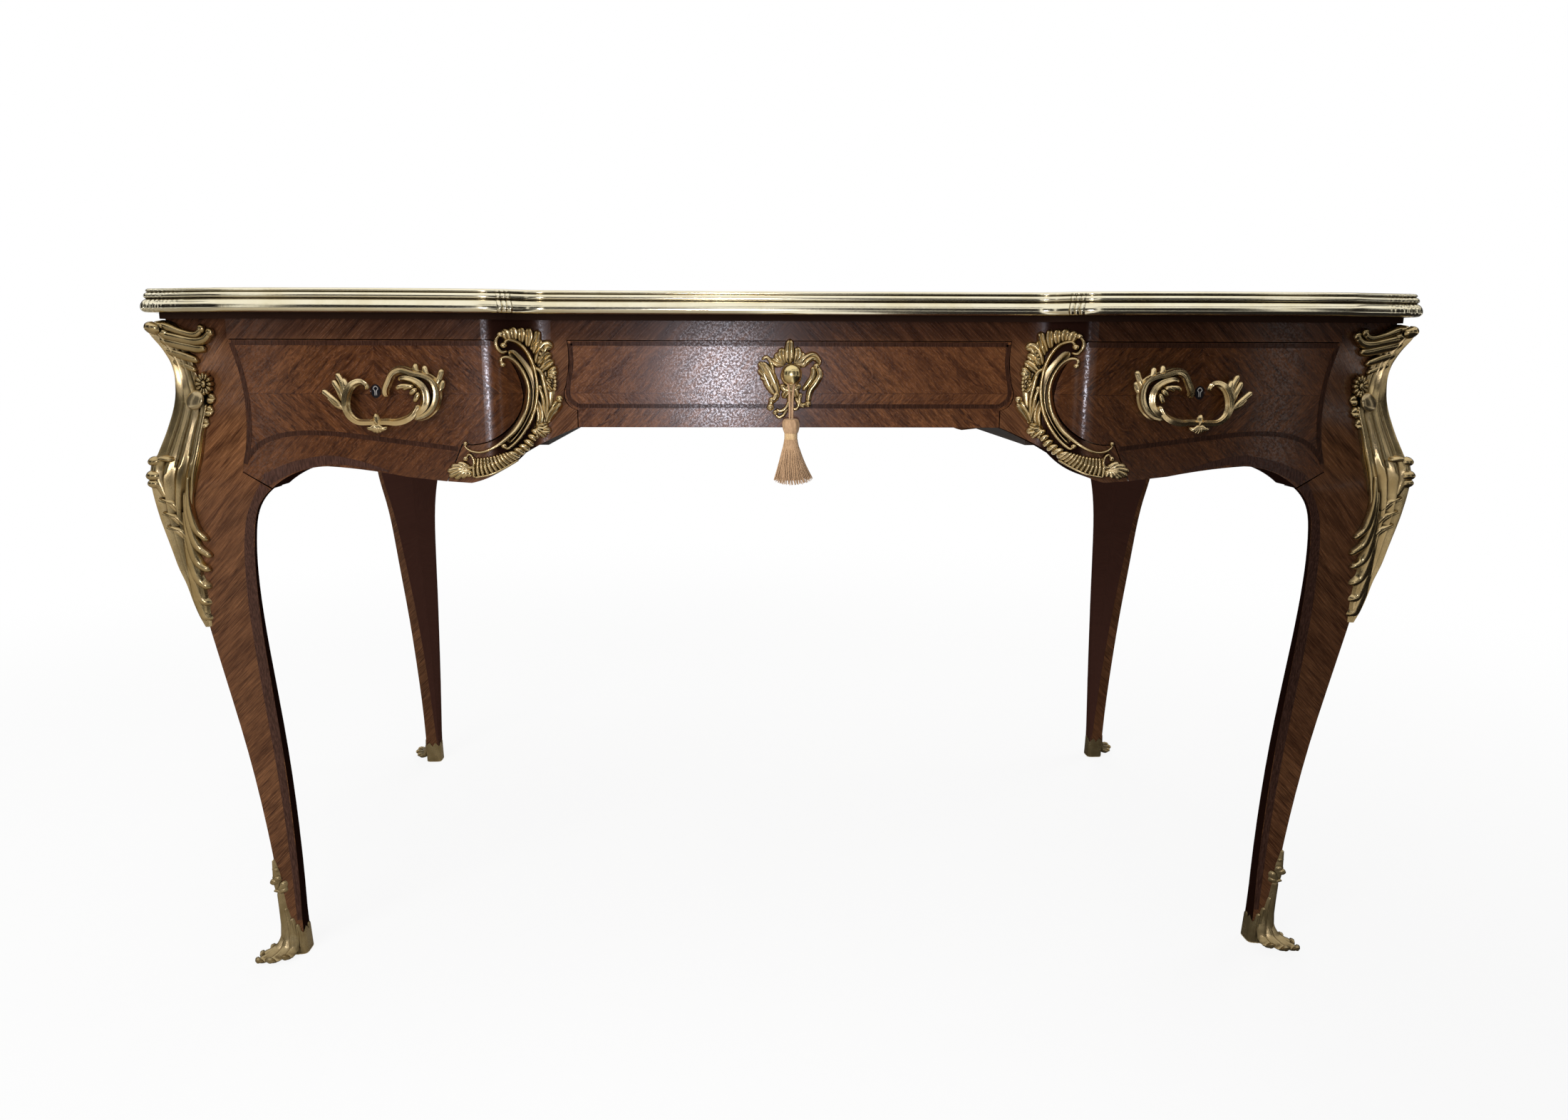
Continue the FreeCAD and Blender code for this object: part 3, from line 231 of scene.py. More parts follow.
def coat_with(material, root, bump=None, matt_shade=None, **sockets):
    """Ends a material in a Principled shader. bump is (height, metres), matt_shade is (mask, colour) of
    painted shade.
    """
    names = {name.replace("_", " "): value for name, value in sockets.items()}
    if bump:
        names["Normal"] = root.node("Bump", None, {"Height": bump[0], "Distance": bump[1], "Strength": 1.0})
    shader = root.node("BsdfPrincipled", None, names)
    if matt_shade:
        shader = root.node("MixShader", None, {0: matt_shade[0], 1: shader, 2: matt_shader(root, matt_shade[1])})
    return ended(material, root, shader)


print("start and end of a finish ready")

# %% [markdown]
# The desk stands on a plain white floor in a plain white studio. The world is white where the camera,
# or a reflection, looks at it, and softer where it only lights the wood. The floor glows white for the
# camera in the same way. A little of its real matt paint shows through near the desk, so that the floor
# keeps a faint shadow.

# %% White studio
scene = bpy.context.scene
scene.view_settings.view_transform = "Standard"
WHITE = rgba((1.0, 1.0, 1.0))
WORLD_LIGHT = 0.12
FLOOR_WIDE, FLOOR_Z = 60.0, -0.0005
SHADOW_SHARE, SHADOW_FADES = 0.11, (0.9, 2.6)


def seen(root):
    """1 where a ray comes from the camera, a mirror or glass."""
    kinds = ("Is Camera Ray", "Is Glossy Ray", "Is Transmission Ray")
    camera_ray, mirror_ray, glass_ray = root.node("LightPath").outputs(*kinds)
    return (camera_ray + mirror_ray + glass_ray).clamped()


def white_world(light):
    """White where it is looked at, and that share of white where it only lights the desk."""
    world = bpy.data.worlds.new("studio")
    world.use_nodes = True
    world.node_tree.nodes.clear()
    root = Signal(world.node_tree)
    strength = seen(root) * (1.0 - light) + light
    shader = root.node("Background", None, {"Color": WHITE, "Strength": strength})
    root.node("OutputWorld", None, {"Surface": shader})
    scene.world = world


def plane(name, size, matrix, material):
    """A flat sheet of the studio, which isn't part of the desk."""
    mesh = bpy.data.meshes.new(name)
    w, h = size[0] / 2, size[1] / 2
    mesh.from_pydata([(-w, -h, 0), (w, -h, 0), (w, h, 0), (-w, h, 0)], [], [(0, 1, 2, 3)])
    mesh.materials.append(material)
    made = bpy.data.objects.new(name, mesh)
    made.matrix_world = matrix
    scene.collection.objects.link(made)
    return made


def floor_paint():
    material, root = start("floor")
    grit = noise(spot_on(root), 40.0, 3.0)
    paint = matt_shader(root, blend(grit, (0.78, 0.78, 0.77), (0.84, 0.84, 0.83)))
    glow = root.node("Emission", None, {"Color": WHITE, "Strength": 1.0})
    (x, y, z), normal = place_of(root)
    far = (x * x + y * y).math("SQRT").smooth(*SHADOW_FADES)
    whiteness = seen(root) * (far * SHADOW_SHARE + (1.0 - SHADOW_SHARE))
    return ended(material, root, root.node("MixShader", None, {0: whiteness, 1: paint, 2: glow}))


white_world(WORLD_LIGHT)
plane("floor", (FLOOR_WIDE, FLOOR_WIDE), Matrix.Translation((0, 0, FLOOR_Z)), floor_paint())
print("white world and floor made")

# %% [markdown]
# Polished metal mirrors what stands round it, and in a white studio it would turn into one flat yellow.
# So tall dark screens stand round the desk, some lean over it, and two mats lie under and in front of
# it, grey on the left and dark on the right. They show only in reflections, as a photographer's black
# cards would.

# %% Dark screens
SCREENS, WALL_SIZE, WALL_FAR, WALL_Z, UPRIGHT = 10, (2.45, 2.9), 4.5, 1.5, 90
LEANING, ROOF_LONG, ROOF_FAR, ROOF_Z, ROOF_LEAN = (1, 2, 5, 6, 7, 8), 2.8, 3.7, 3.75, 50
FIRST_ON_RIGHT, LEFT_ROOF_WIDE, RIGHT_ROOF_WIDE = 5, 1.8, 2.7
MAT_SIZE, MAT_Y, MAT_Z = (2.8, 4.6), -1.0, 0.001
LEFT_MAT_X, RIGHT_MAT_X = -1.4, 1.6


def screen_cloth(name, dark, light):
    material, root = start(name)
    weave = noise(spot_on(root), 300.0, 2.0)
    return ended(material, root, matt_shader(root, blend(weave, dark, light)))


def dark_card(name, size, matrix, paint):
    """A screen that only reflections can see."""
    card = plane(name, size, matrix, paint)
    card.visible_camera = False
    card.visible_diffuse = False
    card.visible_shadow = False


def round_the_desk(k, far, z, lean):
    """The k-th place in the ring of screens, leaning by that angle in degrees."""
    turn = Matrix.Rotation(math.tau * (k + 0.5) / SCREENS, 4, "Z")
    return turn @ Matrix.Translation((0, far, z)) @ Matrix.Rotation(math.radians(lean), 4, "X")


black_cloth = screen_cloth("dark_screen", (0.02, 0.02, 0.02), (0.035, 0.03, 0.03))
grey_cloth = screen_cloth("grey_rug", (0.3, 0.27, 0.22), (0.4, 0.37, 0.32))
for k in range(SCREENS):
    dark_card(f"dark_screen_{k}", WALL_SIZE, round_the_desk(k, WALL_FAR, WALL_Z, UPRIGHT), black_cloth)
for k in LEANING:
    wide = LEFT_ROOF_WIDE if k < FIRST_ON_RIGHT else RIGHT_ROOF_WIDE
    spot = round_the_desk(k, ROOF_FAR, ROOF_Z, ROOF_LEAN)
    dark_card(f"upper_screen_{k}", (wide, ROOF_LONG), spot, black_cloth)
dark_card("low_screen_left", MAT_SIZE, Matrix.Translation((LEFT_MAT_X, MAT_Y, MAT_Z)), grey_cloth)
dark_card("low_screen_right", MAT_SIZE, Matrix.Translation((RIGHT_MAT_X, MAT_Y, MAT_Z)), black_cloth)
print(SCREENS, "upright screens,", len(LEANING), "leaning ones and 2 mats")

# %% [markdown]
# Five lamps light the desk: a large soft one left of the camera, a small flash close to the lens, one
# overhead, one behind and one at the right end. Only the flash shows in the polish, as a bright bar on
# the rounded wood. A cloth that nothing sees holds back a share of the large lamp, because the right
# half of the desk is the darker one.

# %% Lamps
CLOTH_SIZE, CLOTH_AT, CLOTH_DENSE = (1.6, 1.2), (0.26, -1.05, 1.2), 0.7


def lamp(name, at, towards, size, watts, colour=(1.0, 1.0, 1.0), mirrored=False):
    """A soft lamp. Only a mirrored one shows in polished surfaces."""
    made = bpy.data.objects.new(name, bpy.data.lights.new(name, "AREA"))
    made.data.shape = "RECTANGLE"
    made.data.size, made.data.size_y = size
    made.data.energy = watts
    made.data.color = colour
    way = Vector(towards) - Vector(at)
    made.matrix_world = Matrix.Translation(at) @ way.to_track_quat("-Z", "Y").to_matrix().to_4x4()
    made.visible_camera = False
    made.visible_glossy = mirrored
    scene.collection.objects.link(made)


def shade_cloth(name, size, matrix, dense):
    """A cloth that nothing sees but that holds back a share of the light."""
    material, root = start(name)
    clear = root.node("BsdfTransparent")
    black = matt_shader(root, rgba((0.02, 0.02, 0.02)))
    ended(material, root, root.node("MixShader", None, {0: dense, 1: clear, 2: black}))
    cloth = plane(name, size, matrix, material)
    cloth.visible_camera = False
    cloth.visible_diffuse = False
    cloth.visible_glossy = False
    cloth.visible_transmission = False


lamp("key", at=(-1.05, -2.15, 1.3), towards=(-0.3, -0.2, 0.5), size=(1.8, 1.8), watts=55)
lamp("flash", (-0.08, -1.62, 0.65), (-0.05, -0.2, 0.66), (0.1, 0.19), 3.4, (0.88, 0.88, 1.0), mirrored=True)
lamp("overhead", at=(-0.3, 0.3, 3.2), towards=(0, 0, 0), size=(2.6, 1.8), watts=36)
lamp("behind", at=(0.4, 3.0, 1.9), towards=(0, 0, 0.5), size=(2.0, 1.4), watts=34)
lamp("side", at=(2.8, 1.3, 1.5), towards=(0.6, 0.1, 0.5), size=(1.4, 1.2), watts=26)
on_edge = Matrix.Translation(CLOTH_AT) @ Matrix.Rotation(math.pi / 2, 4, "Y")
shade_cloth("shade_cloth", CLOTH_SIZE, on_edge, CLOTH_DENSE)
print("5 lamps and a shade cloth")

# %% [markdown]
# The veneer is a red-brown wood, cut in thin leaves. A picture of wood would stretch on the curved
# legs, so the figure is worked out from the point's own place: a coordinate along the grain, one across
# it, and noise that is drawn out along the first. Each leaf has its own tone. Over it lies French
# polish, a clear coat that has worn: glassy spots stand between duller ones, and the flash breaks up in
# them.

# %% Figure and polish of the wood
VENEER_DARK = (0.013, 0.004, 0.002)
VENEER_MID = (0.06, 0.0215, 0.0092)
VENEER_LIGHT = (0.175, 0.075, 0.0305)
# How often each figure repeats in a metre, along the grain and across it
BANDS, FIBRES, FLECKS = (12.0, 110.0), (40.0, 900.0), (90.0, 2400.0)
FLAMES_ACROSS, LEAF_SHIFT = 190.0, 3.0


def grain_colour(along, across, leaf=0.046, flames_along=62.0, straight=0.0):
    """Figured wood: bands, mottled flames and fine fibres. straight takes from the flames for the fibres."""
    tone = (across / leaf).math("FLOOR")
    tone = tone.node("TexWhiteNoise", {"noise_dimensions": "1D"}, {"W": tone})
    shifted = along + tone * LEAF_SHIFT

    def figure(repeats, detail, rough=0.5, stretch=0.0):
        return noise(vector(shifted * repeats[0], across * repeats[1]), 1.0, detail, rough, stretch)

    bands = figure(BANDS, 3.0, 0.55, 1.2)
    flames = figure((flames_along, FLAMES_ACROSS), 2.0, 0.6, 2.0)
    fibres = figure(FIBRES, 3.0, 0.6)
    flecks = figure(FLECKS, 1.0)
    light = bands.smooth(0.36, 0.66) * 0.34
    light = light + flames.smooth(0.38, 0.68) * (0.42 - straight)
    light = light + fibres.smooth(0.3, 0.7) * (0.24 + straight)
    colour = blend(light, VENEER_DARK, VENEER_LIGHT)
    colour = blend((tone * 0.3 + 0.1).clamped(), colour, VENEER_MID)
    pores = flecks.smooth(0.62, 0.7) * 0.45
    return blend(pores, colour, VENEER_DARK), fibres * 0.7 + flames * 0.3


def polish(material, root, colour, figure, shine=1.0, matt_shade=None):
    """French polish with glassy spots. shine under 1 is a duller surface."""
    spot = spot_on(root)
    grit = noise(spot, 650.0, 3.0, 0.7)
    glassy = noise(spot, 430.0, 2.0, 0.65).smooth(0.44, 0.6)
    return coat_with(
        material,
        root,
        bump=(figure * 0.4 + grit, 0.00005),
        matt_shade=matt_shade,
        Base_Color=colour,
        Roughness=figure * 0.08 + 0.23 - glassy * 0.11,
        Specular_IOR_Level=0.36 * shine,
        Coat_Weight=glassy * (0.45 * shine),
        Coat_Roughness=0.15,
    )


print("figure and polish ready")

# %% [markdown]
# On the frame and the legs the grain runs straighter and at a slant, mirrored left and right of the
# desk's middle. A band close under the edge of the top is painted darker, as the shade of the top's
# overhang. Faces that look inwards or down are painted dark and matt as shade, less dark towards the
# back. The veneer of the top's border runs straight across it.

# %% Veneer of the frame
SLANT = math.sqrt(0.5)
# Dark colours painted as shade on faces that look inwards or down, lighter ones towards the back
FACE_SHADE, FACE_SHADE_STREAK = (0.006, 0.0025, 0.0018), (0.016, 0.006, 0.004)
REAR_FACE_SHADE, REAR_FACE_SHADE_STREAK = (0.03, 0.012, 0.009), (0.062, 0.027, 0.019)
REAR_FROM = 0.2
# Painted shade: the heights over which the veneer darkens under the top's edge, and how dark it gets
SHADE_UNDER_TOP, SHADE_UNDER_TOP_TINT = (0.716, 0.738), (0.37, 0.34, 0.37)
STRAIGHT_FLAMES, STRAIGHTER = 22.0, 0.22
BORDER_LEAF = 0.07


def slanted_veneer(name, shine):
    """Grain at 45 degrees, rising towards the desk's middle, on the front and on the sides alike."""
    material, root = start(name)
    (x, y, z), (nx, ny, nz) = place_of(root)
    on_side = abs(nx).smooth(0.62, 0.78)
    level = abs(x) * (1 - on_side) + abs(y) * on_side
    along, across = (z - level) * SLANT, (z + level) * SLANT
    colour, figure = grain_colour(along, across, flames_along=STRAIGHT_FLAMES, straight=STRAIGHTER)
    # Painted shade under the edge of the top
    colour = blend(z.smooth(*SHADE_UNDER_TOP), colour, SHADE_UNDER_TOP_TINT, "MULTIPLY")
    # Painted shade: the mask named stained marks faces that look inwards or down, which get a dark matt
    # colour
    inward = (nx * x.math("SIGN")).math("MINIMUM", nz + 0.3)
    stained = (inward * -1.0).smooth(0.12, 0.4)
    rear = blend(figure, REAR_FACE_SHADE, REAR_FACE_SHADE_STREAK)
    inner = blend((y > REAR_FROM) * (nz > -0.4), blend(figure, FACE_SHADE, FACE_SHADE_STREAK), rear)
    return polish(material, root, colour, figure, shine, (stained, inner))


def banded_veneer(name):
    """The border of the top: grain straight across it, with mitred corners."""
    material, root = start(name)
    (x, y, z), normal = place_of(root)
    at_end = (cad_high.x - abs(x)) < (cad_high.y - abs(y))
    along = x * at_end + y * (1 - at_end)
    across = y * at_end + x * (1 - at_end)
    colour, figure = grain_colour(along, across, BORDER_LEAF)
    return polish(material, root, colour, figure)


slanted = slanted_veneer("veneer_frame", 0.45)
crossband = banded_veneer("veneer_crossband")
print("veneer of the frame and of the top's border made")

# %% [markdown]
# Each drawer front is quartered: four leaves from one log meet in a diamond round the keyhole, with a
# fine dark joint across the middle. Under the panel runs a plain slanted border. So the same figure is
# used with other coordinates: the distance from the middle in place of the distance from the desk's
# middle.

# %% Veneer of the drawers
BLOCK_MIDDLE, PANEL_JOINT, JOINT_WIDE = 0.4255, 0.675, 0.0006
QUARTER_SHIFT = 7.3
ARCH_X, ARCH_Z, ARCH_CURVE, FOOT_SLOPE = 0.491, 0.635, 4.5, 0.119
CENTRE_FOOT = 0.661
SIDE_TINT, CENTRE_TINT = (0.7, 0.58, 0.42), (0.92, 0.82, 0.7)


def side_panel_foot(x):
    """The lower edge of a side drawer's panel: an arch towards the leg, a slope towards the middle."""
    off = x - ARCH_X
    arch = off.math("MAXIMUM", 0.0).math("POWER", 2.0) * ARCH_CURVE
    return ARCH_Z - arch + off.math("MINIMUM", 0.0) * FOOT_SLOPE


def centre_panel_foot(x):
    """The lower edge of the centre drawer's panel, which is level."""
    return CENTRE_FOOT


def quartered_veneer(name, middle, panel_foot, tint):
    """Grain in diamonds round the middle of a drawer, and at a slant on the border under the panel."""
    material, root = start(name)
    (x, y, z), (nx, ny, nz) = place_of(root)
    aside, up = abs(abs(x) - middle), abs(z - PANEL_JOINT)
    quarter = ((abs(x) > middle) + (z > PANEL_JOINT) * 2.0) * QUARTER_SHIFT
    border = z < panel_foot(abs(x))
    along = ((aside - up) * SLANT + quarter) * (1 - border) + (z - abs(x)) * SLANT * border
    across = (aside + up) * (1 - border) + (z + abs(x)) * border
    colour, figure = grain_colour(along, across * SLANT)
    joint = (1 - up.smooth(0.0, JOINT_WIDE)) * (1 - border) * 0.6
    colour = blend(1.0, blend(joint, colour, VENEER_DARK), tint, "MULTIPLY")
    # Painted shade: faces that look down are painted dark and matt
    under = (nz * -1.0).smooth(0.3, 0.6)
    return polish(material, root, colour, figure, 0.8, (under, blend(figure, FACE_SHADE, FACE_SHADE_STREAK)))


side_quarters = quartered_veneer("veneer_side_drawer", BLOCK_MIDDLE, side_panel_foot, SIDE_TINT)
centre_quarters = quartered_veneer("veneer_centre_drawer", 0.0, centre_panel_foot, CENTRE_TINT)
print("veneer of the drawers made")

# %% [markdown]
# Bare oak shows inside the drawers, pale, with long pores along each board. The boards of the frame are
# oak too, but smoke and dust have made them nearly black. It is noise again, drawn out along the board.
# One material is made for each direction a board can have, because the grain follows the board and not
# the desk.

# %% Oak
PALE_OAK = (0.13, 0.07, 0.03), (0.22, 0.12, 0.055), (0.44, 0.28, 0.14)
SMOKED_OAK = (0.009, 0.005, 0.003), (0.016, 0.009, 0.005), (0.036, 0.02, 0.011)
OAK_ALONG, OAK_ACROSS = 7.0, 160.0


def oak(name, along_axis, pore, dark, light):
    material, root = start(name)
    place, normal = place_of(root)
    stretched = [place[k] * (OAK_ALONG if k == along_axis else OAK_ACROSS) for k in range(3)]
    rings = noise(vector(*stretched), 1.0, 4.0, 0.6, 0.8)
    pores = noise(vector(*[p * 3.0 for p in stretched]), 1.0, 1.0).smooth(0.6, 0.72)
    colour = blend(pores * 0.5, blend(rings.smooth(0.3, 0.7), dark, light), pore)
    height = rings - pores * 0.5
    return coat_with(material, root, (height, 0.0002), Base_Color=colour, Roughness=rings * 0.2 + 0.55)


pale_oaks = [oak(f"oak_{axis}", k, *PALE_OAK) for k, axis in enumerate("xyz")]
smoked_oaks = [oak(f"smoked_oak_{axis}", k, *SMOKED_OAK) for k, axis in enumerate("xyz")]
print("oak made,", len(pale_oaks), "pale and", len(smoked_oaks), "smoked")

# %% [markdown]
# The writing surface is waxed leather with a border tooled in gold: two thin lines and a row of beads
# between them. The distance from the nearest edge of the panel places them, so no picture is needed.
# The gold is worn where the leather is.

# %% Leather
OUTER_LINE, INNER_LINE, BEAD_LINE, BEADS = 0.012, 0.04, 0.026, 55.0


def hide():
    """Waxed leather with a fine pebble, two tooled gold lines and a row of gold beads between them."""
    material, root = start("leather")
    (x, y, z), normal = place_of(root)
    spot = spot_on(root)
    cells = root.node("TexVoronoi", {"feature": "DISTANCE_TO_EDGE"}, {"Vector": spot, "Scale": 900.0})
    wear = noise(spot, 9.0, 4.0, 0.6)
    colour = blend(wear.smooth(0.3, 0.75), (0.055, 0.016, 0.009), (0.12, 0.038, 0.02))
    low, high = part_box("leather_panel")
    inset = (high.x - abs(x)).math("MINIMUM", high.y - abs(y))
    lines = (abs(inset - OUTER_LINE) < 0.0012) + (abs(inset - INNER_LINE) < 0.0008)
    off_beads = abs(inset - BEAD_LINE)
    bead = abs(abs((x + y) * BEADS).math("FRACT") - 0.5) < 0.28
    gold = (lines + (off_beads < 0.0055) * bead * (off_beads > 0.0015)).clamped()
    worn = gold * (wear.smooth(0.25, 0.5) * 0.5 + 0.5)
    return coat_with(
        material,
        root,
        bump=(cells.smooth(0.0, 0.25) + worn * -0.5, 0.0002),
        Base_Color=blend(worn, colour, (0.62, 0.42, 0.13)),
        Metallic=worn * 0.9,
        Roughness=wear * 0.2 + 0.36,
    )


leather = hide()
print("leather made")

# %% [markdown]
# Locks, screws and the keyholes of the side drawers are iron: plain, blackened, or filed bright; the
# black of the keyholes is also painted shade for their openings. Each is metal with clouds of a second,
# rustier colour, and the same clouds make it rougher.

# %% Iron
def dull_iron(name, clean, rusty):
    material, root = start(name)
    rust = noise(spot_on(root), 130.0, 4.0, 0.65)
    colour = blend(rust.smooth(0.45, 0.7), clean, rusty)
    rough = rust * 0.3 + 0.35
    return coat_with(material, root, (rust, 0.0002), Base_Color=colour, Metallic=0.9, Roughness=rough)


iron = dull_iron("iron", (0.21, 0.2, 0.19), (0.13, 0.07, 0.04))
# Black iron; in the keyhole inserts its black is also painted shade for the opening
black_iron_and_hole_shade = dull_iron("black_iron_and_hole_shade", (0.016, 0.016, 0.02), (0.03, 0.022, 0.02))
bright_iron = dull_iron("bright_iron", (0.6, 0.58, 0.55), (0.36, 0.33, 0.3))
print("iron made: plain, black and bright")

# %% [markdown]
# Two kinds of gold are on the desk. The edge of the top is polished brass, pale and mirror-like, with
# fine rubbing marks; its grooves are painted darker as shade, and a band at its foot is painted
# near-black and matt, as the shade under it. The cast mounts are gilt bronze that has gone satin, in
# four tones: bright where hands and cloths reach, brown in the hollows. Hollows are found with ambient
# occlusion, which tells how much of the sky a point can see.

# %% Golds
# Painted shade: below this height the brass edge is painted near-black and matt. BRASS_SHADE_REACH is how
# far occlusion looks when it paints shade into the brass; GILT_HOLLOW gives the gilt's patina.
SHADE_BAND_TOP = 0.7557
BRASS_SHADE_REACH, GILT_HOLLOW = 0.011, 0.006


def polished_brass(name, colour, deep, rough, shade_band_top=None):
    """Mirror-like brass, painted darker as shade where it sees little sky. What lies below shade_band_top, a
    height in metres, is painted shade: near-black, matt and not metal.
    """
    material, root = start(name)
    spot = spot_on(root)
    (x, y, z), normal = place_of(root)
    cloud = noise(spot, 22.0, 4.0, 0.6)
    marks = noise(spot, 420.0, 2.0)
    open_sky = root.node("AmbientOcclusion", {"samples": 6}, {"Distance": BRASS_SHADE_REACH}, "AO")
    tone = blend(cloud.smooth(0.35, 0.75) * 0.5, colour, deep)
    # Painted shade: where the brass sees little sky, in its grooves and under its lip, it turns dark brown
    tone = blend(open_sky.smooth(0.3, 0.92), (0.07, 0.04, 0.012), tone)
    # The near-black colour of the painted shade band at the foot of the edge
    band_shade = blend(cloud, (0.01, 0.005, 0.0035), (0.018, 0.009, 0.006))
    shade_band = (z < shade_band_top, band_shade) if shade_band_top else None
    shine = cloud * 0.12 + marks * 0.06 + rough
    bump = (marks, 0.00002)
    return coat_with(material, root, bump, shade_band, Base_Color=tone, Metallic=1.0, Roughness=shine)


def antique_gilt(name, worn, deep, rough=0.31, metal=1.0):
    material, root = start(name)
    spot = spot_on(root)
    cloud = noise(spot, 38.0, 4.0, 0.6)
    chasing = noise(spot, 900.0, 3.0, 0.6)
    open_sky = root.node("AmbientOcclusion", {"samples": 8}, {"Distance": GILT_HOLLOW}, "AO")
    gold = blend(cloud.smooth(0.3, 0.75), worn, deep)
    tone = blend((open_sky + cloud * 0.2).smooth(0.3, 0.9), (0.04, 0.024, 0.01), gold)
    shine = open_sky.smooth(0.3, 1.0) * -0.14 + cloud * 0.12 + rough
    return coat_with(material, root, (chasing, 0.00006), Base_Color=tone, Metallic=metal, Roughness=shine)


bright_brass = polished_brass("edge_brass", (0.92, 0.85, 0.64), (0.74, 0.63, 0.38), 0.07, SHADE_BAND_TOP)
key_brass = polished_brass("key_brass", (0.84, 0.68, 0.34), (0.68, 0.48, 0.2), 0.14)
gilt = antique_gilt("gilt_bronze", (0.63, 0.48, 0.25), (0.45, 0.33, 0.155))
light_gilt = antique_gilt("light_gilt", (0.84, 0.65, 0.36), (0.62, 0.46, 0.22))
shoe_gilt = antique_gilt("shoe_gilt", (0.43, 0.33, 0.17), (0.28, 0.2, 0.09), 0.36, 0.8)
button_gilt = antique_gilt("button_gilt", (0.5, 0.39, 0.22), (0.4, 0.3, 0.16), 0.3, 0.9)
print("golds made")

# %% [markdown]
# Each loaded piece gets its finish from a short list. Wood that shows on the outside takes the veneer
# that suits its place. Boards inside take oak with the grain along the board: pale in the drawers,
# smoked in the frame.

# %% Finishes of the loaded pieces
LONG_X = ("top_board", "left_drawer_back", "centre_drawer_back", "right_drawer_back", "drawer_stops")
LONG_Z = ("glue_blocks",)
finishes = {
    "top_crossband": crossband,
    "left_drawer_front": side_quarters,
    "right_drawer_front": side_quarters,
    "centre_drawer_front": centre_quarters,
}
by_slot = {
    "veneer": slanted,
    "leather": leather,
    "ironwork": iron,
    "gilt_mount": gilt,
    "edge_brass": bright_brass,
    "key_brass": key_brass,
    "silk": gilt,
}
for part in frame["record"]["subparts"]:
    name, slot = part["node"], part["material_slot"]
    if slot == "carcase":
        boards = pale_oaks if "_drawer_" in name else smoked_oaks
        paint = boards[0] if name in LONG_X else boards[2] if name in LONG_Z else boards[1]
    else:
        paint = finishes.get(name, by_slot[slot])
    nodes[name].data.materials.clear()
    nodes[name].data.materials.append(paint)
print("finishes set on", len(nodes), "pieces")

# %% [markdown]
# New pieces are built from points and faces. Two shapes do most of the work: a grid of points closed
# into a skin, and a smooth line through a few chosen points. The line is a Catmull-Rom curve, which
# passes through every point that it is given, so an ornament can be drawn by naming the places it goes
# through.

# %% Building pieces
STEPS_BETWEEN = 12


def piece(name, points, faces, paint, slot, body, sharp, stands_for=None):
    """A mesh that is smooth except at sharp edges. It rides on a body, and may stand for a loaded piece."""
    mesh = bpy.data.meshes.new(name)
    mesh.from_pydata([tuple(p) for p in points], [], [tuple(int(k) for k in f) for f in faces])
    shell = bmesh.new()
    shell.from_mesh(mesh)
    bmesh.ops.recalc_face_normals(shell, faces=shell.faces)
    shell.to_mesh(mesh)
    shell.free()
    mesh.materials.append(paint)
    mesh.shade_smooth()
    mesh.set_sharp_from_angle(angle=math.radians(sharp))
    made = bpy.data.objects.new(name, mesh)
    scene.collection.objects.link(made)
    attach(made, body)
    if stands_for:
        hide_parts(stands_for)
    return made


def through(points, step):
    """A smooth line through the points, in even steps, and how far along each step is, from 0 to 1."""
    p = np.array(points, float)
    p = np.vstack([2 * p[0] - p[1], p, 2 * p[-1] - p[-2]])
    t = np.linspace(0, 1, STEPS_BETWEEN + 1)[:-1, None]
    dense = []
    for a, b, c, d in zip(p, p[1:], p[2:], p[3:]):
        dense.append(b + 0.5 * t * (c - a + t * (2 * a - 5 * b + 4 * c - d + t * (3 * (b - c) + d - a))))
    dense = np.vstack([*dense, p[-2:-1]])
    run = np.concatenate([[0], np.cumsum(np.linalg.norm(np.diff(dense, axis=0), axis=1))])
    at = np.linspace(0, run[-1], max(5, round(run[-1] / step) + 1))
    return np.column_stack([np.interp(at, run, line) for line in dense.T]), at / run[-1]


def circle(count):
    """Angles of that many points round a full turn."""
    return np.linspace(0, math.tau, count, endpoint=False)


def tube_faces(rings, around, first=0):
    """Faces of a skin made of rings of points, closed at both ends."""
    faces = []
    for near in range(first, first + (rings - 1) * around, around):
        for k in range(around):
            beside = (k + 1) % around
            faces.append((near + k, near + beside, near + around + beside, near + around + k))
    last = first + (rings - 1) * around
    return [*faces, range(first + around - 1, first - 1, -1), range(last, last + around)]


print("piece builders ready")

# %% [markdown]
# The front is not flat: the middle drawer stands back and the two side blocks swell forward, joined by
# a hollow and a rounded nose. These few numbers repeat the plan that the model was built from. One
# function gives the depth of the front at any place, so the inlay and the mounts follow its curve.

# %% Plan of the front
FRONT_Y, BLOCK_Y, BLOCK_AT, BLOCK_HALF = 358.0, 392.0, 446.0, 128.0
HOLLOW, NOSE, BLOCK_SAG = 62.0, 46.0, 7.0
CORNER_X, CORNER_Y, SIDE_BOW = 646.0, 360.0, 10.0
BOW = (BLOCK_HALF**2 + BLOCK_SAG**2) / (2 * BLOCK_SAG)
BOW_TURN = math.asin(BLOCK_HALF / BOW)
STEP_OUT = BLOCK_Y - BLOCK_SAG - FRONT_Y
OGEE = math.acos((HOLLOW + NOSE * math.cos(BOW_TURN) - STEP_OUT) / (HOLLOW + NOSE))
NOSE_X = BLOCK_AT - BLOCK_HALF + NOSE * math.sin(BOW_TURN)
HOLLOW_X = NOSE_X - (HOLLOW + NOSE) * math.sin(OGEE)
NOSE_Y = FRONT_Y + HOLLOW - (HOLLOW + NOSE) * math.cos(OGEE)


